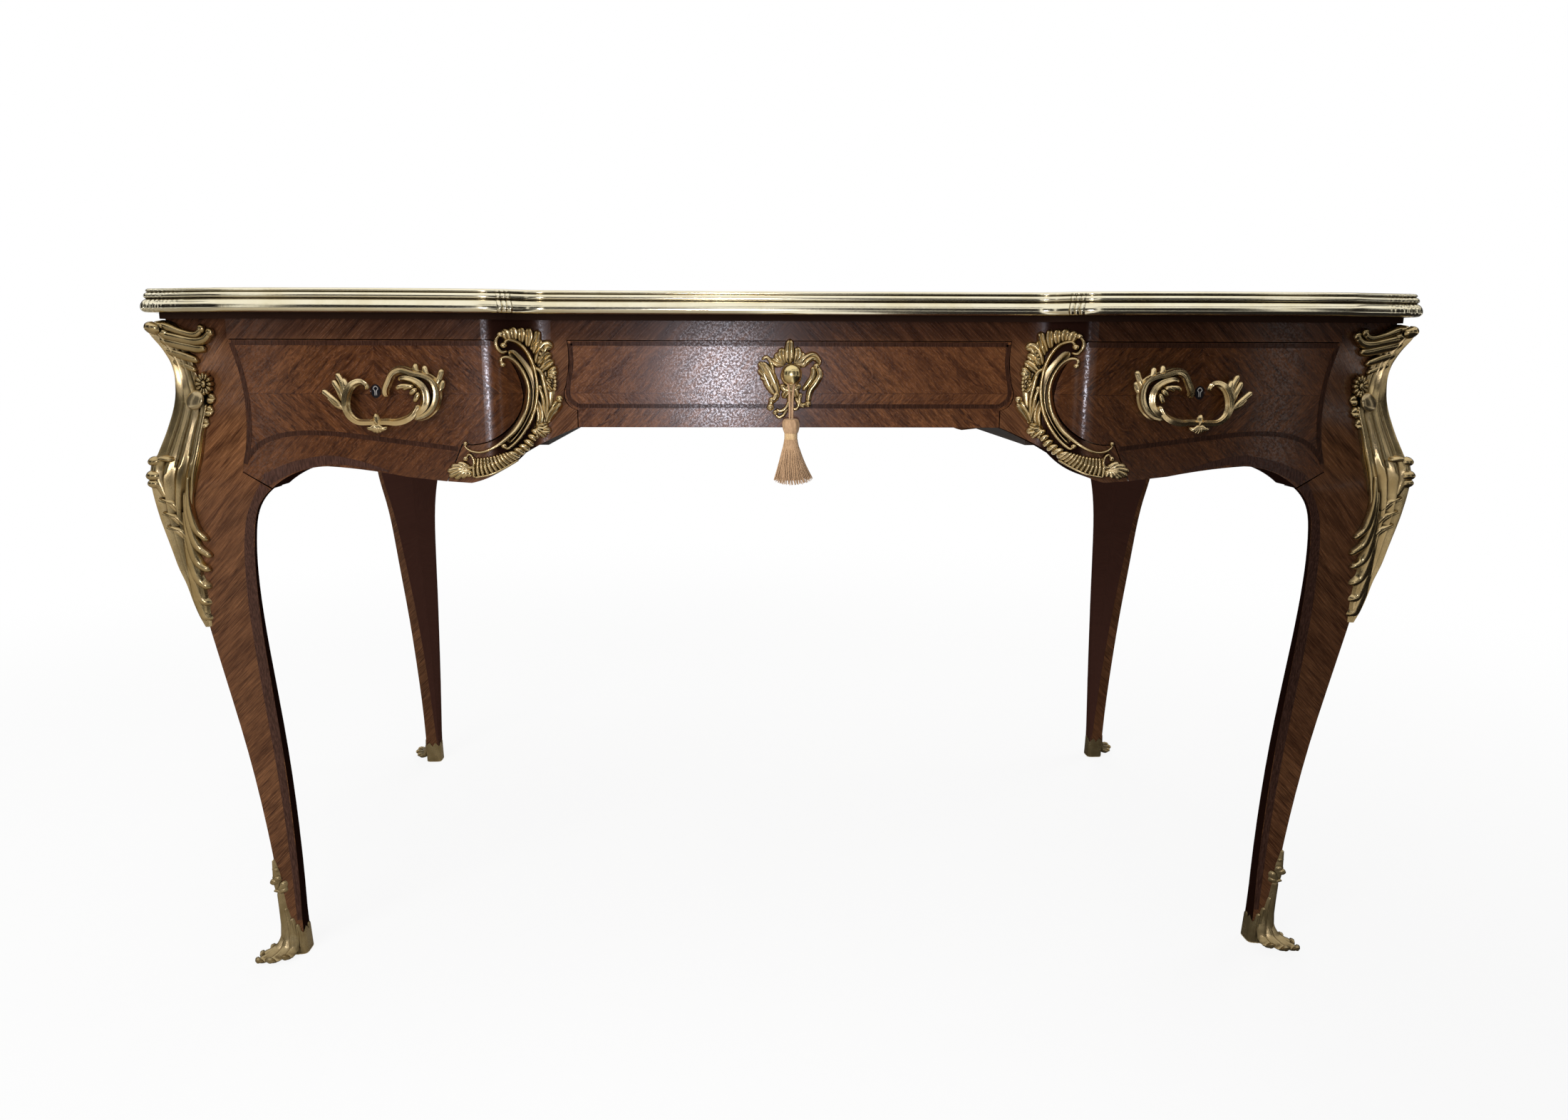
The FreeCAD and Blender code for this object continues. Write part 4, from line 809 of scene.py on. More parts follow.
def front_depth(x):
    """How far the front stands from the middle of the desk at x, and the slope there, in mm."""
    x = abs(x)
    if x < HOLLOW_X:
        return FRONT_Y, 0.0
    if x < HOLLOW_X + HOLLOW * math.sin(OGEE):
        side = x - HOLLOW_X
        rise = math.sqrt(HOLLOW**2 - side**2)
        return FRONT_Y + HOLLOW - rise, side / rise
    if x < BLOCK_AT - BLOCK_HALF:
        side = x - NOSE_X
        rise = math.sqrt(NOSE**2 - side**2)
        return NOSE_Y + rise, -side / rise
    if x < BLOCK_AT + BLOCK_HALF:
        side = x - BLOCK_AT
        rise = math.sqrt(BOW**2 - side**2)
        return BLOCK_Y - BOW + rise, -side / rise
    slope = (CORNER_Y - (BLOCK_Y - BLOCK_SAG)) / (CORNER_X - BLOCK_AT - BLOCK_HALF)
    return BLOCK_Y - BLOCK_SAG + slope * (x - BLOCK_AT - BLOCK_HALF), slope


def on_front(x, z, lift):
    """The point over (x, z) of the front, lifted off the wood. Sizes are in mm, the point in metres."""
    depth, slope = front_depth(x)
    slope *= math.copysign(1.0, x)
    far = math.hypot(1.0, slope)
    return Vector((x - slope * lift / far, -depth - lift / far, z)) * MM


print("front stands", round(front_depth(0)[0]), "to", round(BLOCK_Y), "mm from the middle")

# %% [markdown]
# The edge of the top follows the same plan further out. A scaled plan would be too wide in the hollows
# and too narrow on the noses, so each arc keeps its middle and only its radius changes. The corner is
# rounded a little, and more so the further out the line lies.

# %% Plan of the top
TIP_OUT, TIP_ROUND, TIP_ROUND_OUT = 0.95, 2.0, 0.35
RIGHT_ANGLE = math.pi / 2


def arc(middle, radius, begin, end, count):
    angles = np.linspace(begin, end, count)
    return [(middle[0] + radius * math.cos(a), middle[1] + radius * math.sin(a)) for a in angles]


def quarter(out):
    """The plan from the middle of the front to the middle of the right side, that far outside the wood."""
    down = 3 * RIGHT_ANGLE
    line = [(HOLLOW_X * k / 6, -FRONT_Y - out) for k in range(6)]
    line += arc((HOLLOW_X, -FRONT_Y - HOLLOW), HOLLOW - out, RIGHT_ANGLE, RIGHT_ANGLE - OGEE, 14)[:-1]
    line += arc((NOSE_X, -NOSE_Y), NOSE + out, down - OGEE, down - BOW_TURN, 14)[:-1]
    line += arc((BLOCK_AT, BOW - BLOCK_Y), BOW + out, down - BOW_TURN, down + BOW_TURN, 26)
    tip = np.array((CORNER_X + TIP_OUT * out, -CORNER_Y - TIP_OUT * out))
    rise, half = SIDE_BOW + (1 - TIP_OUT) * out, -tip[1]
    bow = (rise**2 + half**2) / (2 * rise)
    sweep = math.asin(half / bow)
    side = arc((CORNER_X + SIDE_BOW + out - bow, 0), bow, -sweep, 0, 20)
    begin, beyond = np.array(line[-1]), np.array(side[1])
    line += [tuple(begin + (tip - begin) * k / 5) for k in range(1, 5)]
    round_off = TIP_ROUND + TIP_ROUND_OUT * out
    into = tip + (begin - tip) * round_off / math.dist(begin, tip)
    away = tip + (beyond - tip) * round_off / math.dist(beyond, tip)
    for t in np.linspace(0, 1, 7):
        line.append(tuple(into * (1 - t) ** 2 + 2 * t * (1 - t) * tip + away * t**2))
    return line + side[1:]


print(len(quarter(0.0)), "points in a quarter of the plan")

# %% [markdown]
# The edge of the top is a cast and polished brass moulding: a thin reed at the top, a second reed under
# it, a large bead, and below it a recessed band painted near-black as shade. It could be a curve with a
# bevel profile, but a bevel pinches in tight bends. Here each point of the profile gets its own offset
# of the plan, and the offsets are joined into a skin.

# %% Brass edge
# Distance outside the wood and height of each point, from the foot of the painted shade band up
EDGE_PROFILE = [
    (4.0, 749.9), (5.0, 749.9), (5.0, 755.6), (10.0, 755.8), (15.4, 756.0), (17.8, 756.8), (19.3, 758.4),
    (19.9, 760.4), (19.8, 762.4), (19.2, 764.4), (18.2, 766.4), (16.8, 768.0), (15.4, 769.0), (14.5, 769.6),
    (15.4, 770.3), (16.2, 771.3), (16.3, 772.7), (15.8, 774.1), (14.8, 775.2), (13.6, 775.8), (13.2, 776.3),
    (14.0, 776.8), (14.2, 777.7), (13.6, 778.8), (12.4, 779.6), (10.8, 779.9), (4.0, 779.9),
]
WIDEST = int(np.argmax([out for out, z in EDGE_PROFILE]))
EDGE_WIDE = EDGE_PROFILE[WIDEST][0] - EDGE_PROFILE[0][0]
EDGE_SHARP = 50
rails = np.array([quarter(out) for out, z in EDGE_PROFILE])
guide = rails[WIDEST]
spots = np.arange(len(guide))


def run_between(begin, end, finer):
    """The moulding's points between two spots of the quarter plan, one row for each step along it."""
    middle = np.linspace(begin, end, max(2, math.ceil((end - begin) * finer) + 1))
    return np.array([[[np.interp(m, spots, rail[:, k]) for k in (0, 1)] for rail in rails] for m in middle])


def moulding(name, node, run, signs, proud=0.0):
    """A length of the moulding in the quarter that the signs choose, a little proud if asked."""
    out = np.zeros(len(run)) + proud
    run = run + (run - run[:, :1]) * out[:, None, None] / EDGE_WIDE
    points = []
    for row in run:
        for (x, y), (reach, z) in zip(row, EDGE_PROFILE):
            points.append((x * signs[0] * MM, y * signs[1] * MM, z * MM))
    faces = tube_faces(len(run), len(EDGE_PROFILE))
    piece(name, points, faces, bright_brass, "edge_brass", "desk", EDGE_SHARP, node)


print(len(guide), "points in a quarter of the top,", len(EDGE_PROFILE), "in the profile")

# %% [markdown]
# The real edge is cast in lengths: one for each side, four corners, and four small clasps where the
# front breaks forward. The joints lie near the corners. A corner or a clasp is the same skin with a
# swelling, where its points stand further out from the wood.

# %% Lengths of the brass edge
HANDS = (("left", -1), ("right", 1))
FACES = (("front", 1), ("back", -1))
SEAM_X, SEAM_Y, SEAM_GAP = 616.0, 330.0, 0.15
BREAK_X, CLASP_HALF, CLASP_BEADS = 290.0, 7.0, 3
BAND_X, BAND_REACH, BAND_HIGH, BAND_LOW = 640.0, 18.0, 1.6, 0.3


def spot_at_x(x):
    corner_at = np.argmax(guide[:, 0])
    return float(np.interp(x, guide[:corner_at, 0], spots[:corner_at]))


def spot_at_y(y):
    past = int(np.argmax(guide[:, 0] > SEAM_X))
    return float(np.interp(y, guide[past:, 1], spots[past:]))


front_run = run_between(0, spot_at_x(SEAM_X - SEAM_GAP), 2)
side_run = run_between(spot_at_y(-SEAM_Y + SEAM_GAP), len(guide) - 1, 2)
corner_run = run_between(spot_at_x(SEAM_X), spot_at_y(-SEAM_Y), 8)
clasp_run = run_between(spot_at_x(BREAK_X - CLASP_HALF), spot_at_x(BREAK_X + CLASP_HALF), 6)
half_turns = np.linspace(-CLASP_BEADS / 2, CLASP_BEADS / 2, len(clasp_run))
clasp_swell = 0.4 + 2.0 * np.abs(np.cos(half_turns * math.pi))
off_band = np.abs(corner_run[:, WIDEST, 0] - BAND_X) / BAND_REACH
waves = np.abs(np.cos(off_band * 3.5 * math.pi)) * (1 - 0.6 * off_band)
corner_swell = np.where(off_band < 1, waves, BAND_LOW) * BAND_HIGH - BAND_HIGH
whole_front = np.vstack([(front_run * (-1, 1))[::-1], front_run[1:]])
whole_side = np.vstack([side_run, (side_run * (1, -1))[::-1][1:]])
for face, sign in FACES:
    moulding(f"edge_{face}", f"top_edge_{face}", whole_front, (1, sign))
for hand, sign in HANDS:
    moulding(f"edge_{hand}", f"top_edge_{hand}", whole_side, (sign, 1))
for k, signs in enumerate((sx, sy) for sx in (-1, 1) for sy in (-1, 1)):
    moulding(f"edge_corner_{k}", "top_edge_corners", corner_run, signs, corner_swell)
    moulding(f"edge_clasp_{k}", "top_break_clasps", clasp_run, signs, clasp_swell)
print("edge of 4 long lengths, 4 corners and 4 clasps")

# %% [markdown]
# Ornament is drawn in strokes. A stroke follows a smooth line on the wood and has a width and a height
# that change on the way, like a piece of modelled wax: round for a rod, ribbed for a leaf, hollow for a
# channel, flat for an inlay. Overlapping strokes read as one casting. Each stroke is a closed skin,
# sunk a little into what it lies on.

# %% Sections of a stroke
def shape_of(kind, a):
    """The height of a stroke's section, from 0 to 1, at the places a across it, which go from -1 to 1."""
    bulge = np.sqrt(np.maximum(1 - a**2, 0))
    if kind == "leaf":
        return bulge**0.8 * (0.62 + 0.38 * np.abs(np.sin(a * math.pi)))
    if kind == "channel":
        return bulge**0.6 * (0.35 + 0.65 * np.abs(a) ** 1.5)
    if kind == "flat":
        return np.where(np.abs(a) < 0.99, 1.0, 0.0)
    return bulge


def spread(values, share):
    """One number or several, spread evenly along a line."""
    return np.interp(share, np.linspace(0, 1, np.size(values)), np.atleast_1d(values))


def rounded_ends(line, share, radius, least):
    """How much of its section a line keeps at each place, so that both ends close in a half round."""
    run = share * np.linalg.norm(np.diff(line, axis=0), axis=1).sum()
    close = np.clip(np.minimum(run, run[-1] - run) / radius, least, 1)
    return np.sqrt(close * (2 - close))


print("sections ready: round, leaf, channel and flat")

# %% [markdown]
# All strokes of one ornament are collected in one skin. The place where they lie is given as a
# function, so that the same drawing tools work on the front, on an end, on a leg and round a corner. A
# free bar, a dome and a bunch of leaves are made with the same few steps.

# %% Strokes
SUNK = 0.6
CAST_SHARP = 55
TINY = 1e-9


class Relief:
    """Collects strokes. place(u, v, lift) gives the point in metres for a spot and a height in mm."""

    def __init__(self, place):
        self.place = place
        self.points = []
        self.faces = []

    def stroke(self, points, width, height, kind="round", lift=0.0, across=8, step=1.6, square=False):
        """A modelled stroke. width, height and lift are one number or several, spread along the line."""
        line, share = through(points, step)
        way = np.gradient(line, axis=0)
        way /= np.linalg.norm(way, axis=1)[:, None] + TINY
        half, tall, base = 0.5 * spread(width, share), spread(height, share), spread(lift, share)
        if not square:
            soften = rounded_ends(line, share, np.maximum(half, 0.3), 0.02)
            half, tall = half * soften, tall * soften
        a = np.linspace(-1, 1, across + 1)
        if kind == "flat":
            a = np.sign(a) * np.abs(a) ** 0.05
        section = shape_of(kind, a)
        first = len(self.points)
        for (u, v), (du, dv), w, h, b in zip(line, way, half, tall, base):
            for side, up in zip(a, section):
                deep = b - SUNK if up == 0 else b
                self.points.append(self.place(u - dv * side * w, v + du * side * w, deep + up * h))
        self.faces += tube_faces(len(line), across + 1, first)

    def rod(self, points, radius, around=8, step=2.0, ribs=0):
        """A free round bar through points (u, v, lift), with lengthwise ribs if asked."""
        around = max(around, ribs * 4)
        line, share = through(points, step)
        thick = spread(radius, share)
        thick = thick * rounded_ends(line, share, thick, 0.05)
        first = len(self.points)
        for spot, way, r in zip(line, np.gradient(line, axis=0), thick):
            flat = np.cross(way, (0, 0, 1))
            flat = flat / (np.linalg.norm(flat) + TINY)
            up = np.cross(flat, way)
            up = up / (np.linalg.norm(up) + TINY)
            for angle in circle(around):
                ribbed = r * (0.88 + 0.12 * math.cos(ribs * angle))
                out = ribbed * (flat * math.cos(angle) + up * math.sin(angle))
                self.points.append(self.place(*(spot + out)))
        self.faces += tube_faces(len(line), around, first)

    def ball(self, u, v, radius, lift=0.0, flatten=1.0, rings=5, around=10):
        """A boss or pearl: a dome on the surface."""
        first = len(self.points)
        for k in range(rings + 1):
            tilt = math.pi / 2 * k / rings * 0.98
            far = radius * math.cos(tilt)
            high = lift + radius * flatten * math.sin(tilt) - (SUNK if k == 0 else 0)
            for angle in circle(around):
                self.points.append(self.place(u + far * math.cos(angle), v + far * math.sin(angle), high))
        self.faces += tube_faces(rings + 1, around, first)

    def leaves(self, root, tips, width, height, kind="leaf", bend=0.15):
        """Several leaves from one root, each bent a little to the side."""
        for tip in tips:
            along = np.subtract(tip, root)
            middle = np.add(root, along * 0.55) + bend * np.array((-along[1], along[0]))
            self.stroke([root, middle, tip], (width * 0.5, width * 0.95, width * 0.8), height, kind)

    def cast(self, name, paint, slot, body, flip=(1, 1), stands_for=None):
        """Makes the piece, mirrored across the desk's middle where a sign is -1."""
        points = [(p[0] * flip[0], p[1] * flip[1], p[2]) for p in self.points]
        return piece(name, points, self.faces, paint, slot, body, CAST_SHARP, stands_for)


print("strokes ready")

# %% [markdown]
# Dark stringing frames the panels of the drawers, of the ends and of the back. On the real desk thin
# strips of black-stained wood are let into the veneer. A painted line would blur when the camera comes
# close, so each string is a very thin strip that follows the drawer's own edge and rides on the drawer.
# Wider strips of darker wood run along the edge of the arch and the inner edge of the legs; they are
# also painted shade, standing for the dark shaded line along those edges. A ray towards the leg or the
# end finds the wood there.

# %% Places for the stringing
EYE_Y, EYE_X = -0.6, 0.8
NUDGES = 8
depsgraph = bpy.context.evaluated_depsgraph_get()
right_leg = BVHTree.FromObject(nodes["leg_front_right"], depsgraph)
right_end = BVHTree.FromObject(nodes["side_frieze_right"], depsgraph)


def plain_strip(name, dark, light):
    material, root = start(name)
    (x, y, z), normal = place_of(root)
    streaks = noise(vector(x * 900.0, y * 900.0, z * 120.0), 1.0, 3.0)
    return polish(material, root, blend(streaks.smooth(0.3, 0.7), dark, light), streaks, 0.3)


def on_leg_front(x, z, lift):
    """The point over (x, z) of the right leg's front face, or of the front where the leg has none."""
    for nudge in range(NUDGES):
        eye = Vector(((x + nudge) * MM, EYE_Y, z * MM))
        hit, normal, face, far = right_leg.ray_cast(eye, Vector((0, 1, 0)))
        if hit is not None and normal.y < -0.5:
            return hit + Vector((0, -lift * MM, 0))
    return on_front(x, z, lift)


def on_end(y, z, lift):
    """The point over (y, z) of the right end of the desk."""
    hit, normal, face, far = right_end.ray_cast(Vector((EYE_X, y * MM, z * MM)), Vector((-1, 0, 0)))
    return hit + Vector((lift * MM, 0, 0))


ebony = plain_strip("stringing", (0.017, 0.0066, 0.0036), (0.037, 0.0148, 0.008))
# Darker wood that also serves as painted shade along the arch and the legs' inner edge
lip_wood_and_shade = plain_strip("edge_lip_and_shade", (0.024, 0.0105, 0.007), (0.054, 0.0245, 0.0165))
print("stained woods made, legs and ends ready to measure")

# %% [markdown]
# The lines are drawn with a few points each, as x or y and height in millimetres. Where a panel is the
# same on both sides, one end is drawn and mirrored.

# %% Lines of the stringing
STRING_TOP, CENTRE_TOP, CENTRE_LOW = 726.2, 726.4, 661.5
SIDE_STRINGS = [
    [(569.8, STRING_TOP), (440, STRING_TOP), (309, STRING_TOP)],
    [(569.8, STRING_TOP), (561.3, 694), (557.9, 660), (559.6, 630), (566.3, 603)],
    [
        (565.8, 606), (552, 621.5), (534, 630.5), (514, 634.5), (491, 635.5), (460, 633.5), (400, 626),
        (346.5, 618.7),
    ],
]
CENTRE_END = [(231.4, CENTRE_TOP), (230.8, 704), (235, 680), (233, 668), (224, CENTRE_LOW)]
PANEL_END = [(228, STRING_TOP), (236, 694), (238, 660), (230, 618)]
PANEL_ARCH = [(-230, 618), (-190, 634), (-110, 651), (0, 658), (110, 651), (190, 634), (230, 618)]
ARCH_LIP = [(547, 585.8), (530, 594.5), (511, 601.5), (480, 607.5), (450, 604.2), (418, 596)]
ARCH_LIP_WIDE = (12, 11.4, 10.4, 9, 6, 2)
LEG_LIP = [
    (547.5, 580), (561.5, 557.5), (571.5, 536), (580.3, 499.5), (585.9, 441), (585.7, 362), (583.9, 282),
    (582.6, 203), (582.7, 124), (583.5, 45),
]
LEG_LIP_WIDE = (11.5, 11.5, 11.5, 11.5, 10.4, 8.6, 6)


def mirrored(line):
    return [(-u, v) for u, v in line]


centre_lines = [
    [(-231, CENTRE_TOP), (0, CENTRE_TOP), (231, CENTRE_TOP)],
    CENTRE_END,
    mirrored(CENTRE_END),
    [(-224, CENTRE_LOW), (0, CENTRE_LOW), (224, CENTRE_LOW)],
]
end_lines = [
    [(-228, STRING_TOP), (0, STRING_TOP), (228, STRING_TOP)],
    mirrored(PANEL_END),
    PANEL_END,
    PANEL_ARCH,
]
print(len(SIDE_STRINGS), len(centre_lines), len(end_lines), "lines on a side drawer, the centre and an end")

# %% [markdown]
# The strips are laid on the front, on the ends and on the legs, and mirrored to the other side and to
# the back. Those of a drawer ride on it, and the back has no drawers, so its strips ride on the desk.

# %% Stringing
STRING_WIDE, CENTRE_STRING_WIDE, STRING_HIGH, LIP_HIGH = 5.0, 4.6, 0.25, 0.3


def inlay(place, lines, width, height, step=6.0):
    """Thin flat strips along the lines."""
    strips = Relief(place)
    for line in lines:
        strips.stroke(line, width, height, "flat", across=4, step=step, square=True)
    return strips


side_strings = inlay(on_front, SIDE_STRINGS, STRING_WIDE, STRING_HIGH)
centre_strings = inlay(on_front, centre_lines, CENTRE_STRING_WIDE, STRING_HIGH)
end_strings = inlay(on_end, end_lines, STRING_WIDE, STRING_HIGH)
# Strips of darker wood and painted shade along the arch's edge and the legs' inner edge
arch_lip = inlay(on_front, [ARCH_LIP], ARCH_LIP_WIDE, LIP_HIGH, 5.0)
leg_lip = inlay(on_leg_front, [LEG_LIP], LEG_LIP_WIDE, LIP_HIGH, 8.0)
for hand, sign in HANDS:
    strips = [
        ("stringing", side_strings, ebony, f"{hand}_drawer"),
        ("arch_lip", arch_lip, lip_wood_and_shade, f"{hand}_drawer"),
        ("leg_lip", leg_lip, lip_wood_and_shade, "desk"),
    ]
    for kind, strip, paint, body in strips:
        strip.cast(f"{hand}_{kind}", paint, "veneer", body, (sign, 1))
        strip.cast(f"{hand}_back_{kind}", paint, "veneer", "desk", (sign, -1))
    end_strings.cast(f"{hand}_end_stringing", ebony, "veneer", "desk", (sign, 1))
centre_strings.cast("centre_stringing", ebony, "veneer", "centre_drawer")
centre_strings.cast("centre_back_stringing", ebony, "veneer", "desk", (1, -1))
print(len(SIDE_STRINGS) * 4 + len(centre_lines) * 2 + len(end_lines) * 2, "strings and 8 edge strips")

# %% [markdown]
# A silk tassel hangs from the key: a twisted cord looped over the key's neck, a bound head and a skirt
# of loose strands. Silk shines along its threads, so the finish is noise drawn out in height, with a
# little sheen. All silk pieces ride on the tassel's own body.

# %% Silk
SOFT_SHARP = 80


def silk(name, dark, light):
    material, root = start(name)
    (x, y, z), normal = place_of(root)
    threads = noise(vector(x * 1800.0, y * 1800.0, z * 60.0), 1.0, 2.0)
    cloud = noise(spot_on(root), 160.0, 2.0)
    return coat_with(
        material,
        root,
        bump=(threads, 0.0001),
        Base_Color=blend((threads * 0.7 + cloud * 0.3).smooth(0.3, 0.7), dark, light),
        Roughness=threads * 0.2 + 0.38,
        Sheen_Weight=0.35,
        Sheen_Roughness=0.35,
        Sheen_Tint=rgba((0.95, 0.82, 0.62)),
    )


def silk_piece(name, skin, paint, node):
    return piece(name, *skin, paint, "silk", "tassel", SOFT_SHARP, node)


silk_tan = silk("silk", (0.3, 0.18, 0.092), (0.5, 0.315, 0.175))
silk_gold = silk("silk_binding", (0.4, 0.26, 0.12), (0.68, 0.47, 0.25))
print("silk made, tan and gold")

# %% [markdown]
# The cord's line is a smooth spline with the same control points as in the model. Its three strands
# wind round points that are read from that spline, because a plain tube would look like wire. The two
# sides of the loop mirror each other.

# %% Silk cord
CORD_Y, CORD_THICK, CORD_LONG = -0.3802, 0.0028, 0.1073
HEAD_TOP = 0.650
CORD_RISE = [
    (0.0014, HEAD_TOP), (0.0014, 0.668), (0.0022, 0.682),
    (0.0051, 0.6915), (0.0049, 0.6982), (0.002, 0.701),
]
CORD_ROUTE = CORD_RISE + mirrored(CORD_RISE[::-1])
STRANDS, STRAND_SIDES, TWIST_LONG = 3, 7, 0.0085
STRAND_OFF, STRAND_RADIUS = 0.24, 0.25


def smooth_route(points):
    """The points of a smooth spline that has these as its control points."""
    curve = bpy.data.curves.new("route", "CURVE")
    curve.dimensions = "3D"
    spline = curve.splines.new("NURBS")
    spline.points.add(len(points) - 1)
    for spot, place in zip(spline.points, points):
        spot.co = (*place, 1.0)
    spline.order_u = 3
    spline.use_endpoint_u = True
    spline.resolution_u = 14
    holder = bpy.data.objects.new("route", curve)
    mesh = bpy.data.meshes.new_from_object(holder)
    line = [Vector(vertex.co) for vertex in mesh.vertices]
    bpy.data.meshes.remove(mesh)
    bpy.data.curves.remove(curve)
    return line


def twisted(line):
    """The points and faces of strands that wind round the line."""
    points, faces = [], []
    over = Vector((0, 1, 0))
    for strand in range(STRANDS):
        run, first = 0.0, len(points)
        for k, spot in enumerate(line):
            way = (line[min(k + 1, len(line) - 1)] - line[max(k - 1, 0)]).normalized()
            run += (spot - line[k - 1]).length if k else 0.0
            side = way.cross(over).normalized()
            turn = math.tau * (strand / STRANDS + run / TWIST_LONG)
            core = spot + (side * math.cos(turn) + over * math.sin(turn)) * CORD_THICK * STRAND_OFF
            for angle in circle(STRAND_SIDES):
                off = side * math.cos(angle) + over * math.sin(angle)
                points.append(core + off * CORD_THICK * STRAND_RADIUS)
        faces += tube_faces(len(line), STRAND_SIDES, first)
    return points, faces


route = smooth_route([(x, CORD_Y, z) for x, z in CORD_ROUTE])
cord = silk_piece("silk_cord", twisted(route), silk_tan, "tassel_cord")
print("cord of", STRANDS, "strands,", len(route), "points along it")

# %% [markdown]
# A tassel's head is silk stretched over a small wooden ball and tied under it with a gold thread. Both
# are turned about an upright axis, like work on a lathe, and the head's radius ripples to give the
# folds of the silk.

# %% Tassel head
HEAD_LOW = 0.628
HEAD_LINE = [
    (0.003, HEAD_TOP), (0.007, 0.6492), (0.0086, 0.6455),
    (0.0084, 0.6405), (0.0072, 0.636), (0.0066, 0.6345),
]
HEAD_STEP, FOLDS = 0.0008, 9
WINDS, WIND_STEP, WIND_BULGE, BINDING_RADIUS = 13, 0.00055, 0.0007, 0.0064
BINDING_LOW, BINDING_TOP = (0.0052, 0.6278), (0.005, 0.635)


def turned_skin(levels, around, place, ripple=None):
    """A skin round an axis. levels are (radius, place on it), ripple(angle, share) scales the radius."""
    points = []
    for k, (radius, along) in enumerate(levels):
        for angle in circle(around):
            r = radius * ripple(angle, k / (len(levels) - 1)) if ripple else radius
            points.append(place(r * math.cos(angle), r * math.sin(angle), along))
    return points, tube_faces(len(levels), around)


def round_tassel(x, y, z):
    return x, CORD_Y + y, z


def gathers(angle, share):
    """The folds of the silk, and a slightly oval foot."""
    return 1 + 0.035 * math.cos(FOLDS * angle + 5 * share) + 0.05 * (1 - share) * math.cos(2 * angle)


head_line = through(HEAD_LINE, HEAD_STEP)[0][::-1]
radii = [BINDING_RADIUS + WIND_BULGE * abs(math.sin(k * 1.1)) for k in range(WINDS)]
winds = [(radius, HEAD_LOW + k * WIND_STEP) for k, radius in enumerate(radii)]
head_skin = turned_skin(head_line, 72, round_tassel, gathers)
binding_skin = turned_skin([BINDING_LOW, *winds, BINDING_TOP], 48, round_tassel)
head = silk_piece("tassel_cap", head_skin, silk_tan, "tassel_head")
binding = silk_piece("tassel_binding", binding_skin, silk_gold, "tassel_head")
print("head with", FOLDS, "folds, bound with", WINDS, "turns")

# %% [markdown]
# The skirt is a fringe that spreads by its own weight. A cone with stripes looks stiff, so about two
# hundred separate strands hang in three layers round a soft inner core, each with its own slight wave
# and length. The random numbers are seeded, so every run gives the same tassel.

# %% Tassel skirt
HEM, NECK_WIDE, HEM_WIDE, HEM_ASIDE = 0.5815, 0.0066, 0.0203, 0.0028
CORE_LINE = [(0.0145, 0.5865), (0.0105, 0.603), (0.0068, 0.619), (0.004, HEAD_LOW)]
FRINGE, LAYERS, FRINGE_STEPS, FRINGE_SIDES = 210, 3, 12, 5
SEED = 7
dice = np.random.default_rng(SEED)


def fringe_skin():
    points, faces = [], []
    for k in range(FRINGE):
        angle = math.tau * (k + dice.uniform(-0.4, 0.4)) / (FRINGE / LAYERS)
        layer = 0.8 + 0.2 * (k % LAYERS) / 2
        wave, phase = dice.uniform(0.0002, 0.0009), dice.uniform(0, math.tau)
        end = HEM + dice.uniform(0.0, 0.0016) + 0.0035 * abs(math.cos(angle)) ** 3 + 0.001 * math.cos(angle)
        thick = dice.uniform(0.00035, 0.0006)
        first = len(points)
        for t in np.linspace(0, 1, FRINGE_STEPS):
            flare = NECK_WIDE + (HEM_WIDE - NECK_WIDE) * (0.35 * t + 0.65 * t**1.5)
            out = flare * (layer if t > 0.2 else 0.96)
            lean = angle + wave / 0.01 * math.sin(phase + 5 * t) * t
            x, y = out * math.cos(lean) + HEM_ASIDE * t**2, out * math.sin(lean)
            middle = Vector((x, CORD_Y + y, HEAD_LOW + 0.0006 + (end - HEAD_LOW) * t))
            for side in circle(FRINGE_SIDES):
                off = Vector((math.cos(side), math.sin(side), 0)) * thick * (1.3 - 0.5 * t)
                points.append(middle + off)
        faces += tube_faces(FRINGE_STEPS, FRINGE_SIDES, first)
    return points, faces


silk_piece("tassel_core", turned_skin(CORE_LINE, 40, round_tassel), silk_tan, "tassel_skirt")
silk_piece("tassel_fringe", fringe_skin(), silk_tan, "tassel_skirt")
print(FRINGE, "strands in the fringe")

# %% [markdown]
# The key is turned brass. Only its round bow shows: a polished dome with a rolled rim. It is a profile
# turned about the key's axis, from the end of the stem in the lock to the front of the bow.

# %% Key
KEY_Z, KEY_SHARP = 0.696, 35
# Radius, and distance from the middle of the desk, in mm
KEY_PROFILE = [
    (0.02, -331.2), (2.7, -331.2), (3.0, -331.8), (3.0, -362.5), (4.6, -363.2), (5.0, -364.5),
    (4.6, -365.8), (3.0, -366.6), (3.0, -381.2), (6.0, -382.2), (9.4, -382.6), (10.5, -384.0),
    (10.6, -385.6), (10.3, -387.6), (9.5, -389.7), (8.2, -391.4), (6.4, -392.8), (4.0, -393.8),
    (1.8, -394.2), (0.02, -394.3),
]


def round_key(x, z, y):
    return x, y, KEY_Z + z


levels = [(radius * MM, along * MM) for radius, along in KEY_PROFILE]
piece("turned_key", *turned_skin(levels, 48, round_key), key_brass, "key_brass", "key", KEY_SHARP, "key")
print("key with", len(KEY_PROFILE), "turned steps")

# %% [markdown]
# Beside each side drawer a tall gilt scroll hides the joint of stile and drawer. It is a crescent of
# two bold rods with a hollow bed between them, curled at both ends. It is drawn once, for the right
# side of the front, with x and height in millimetres.

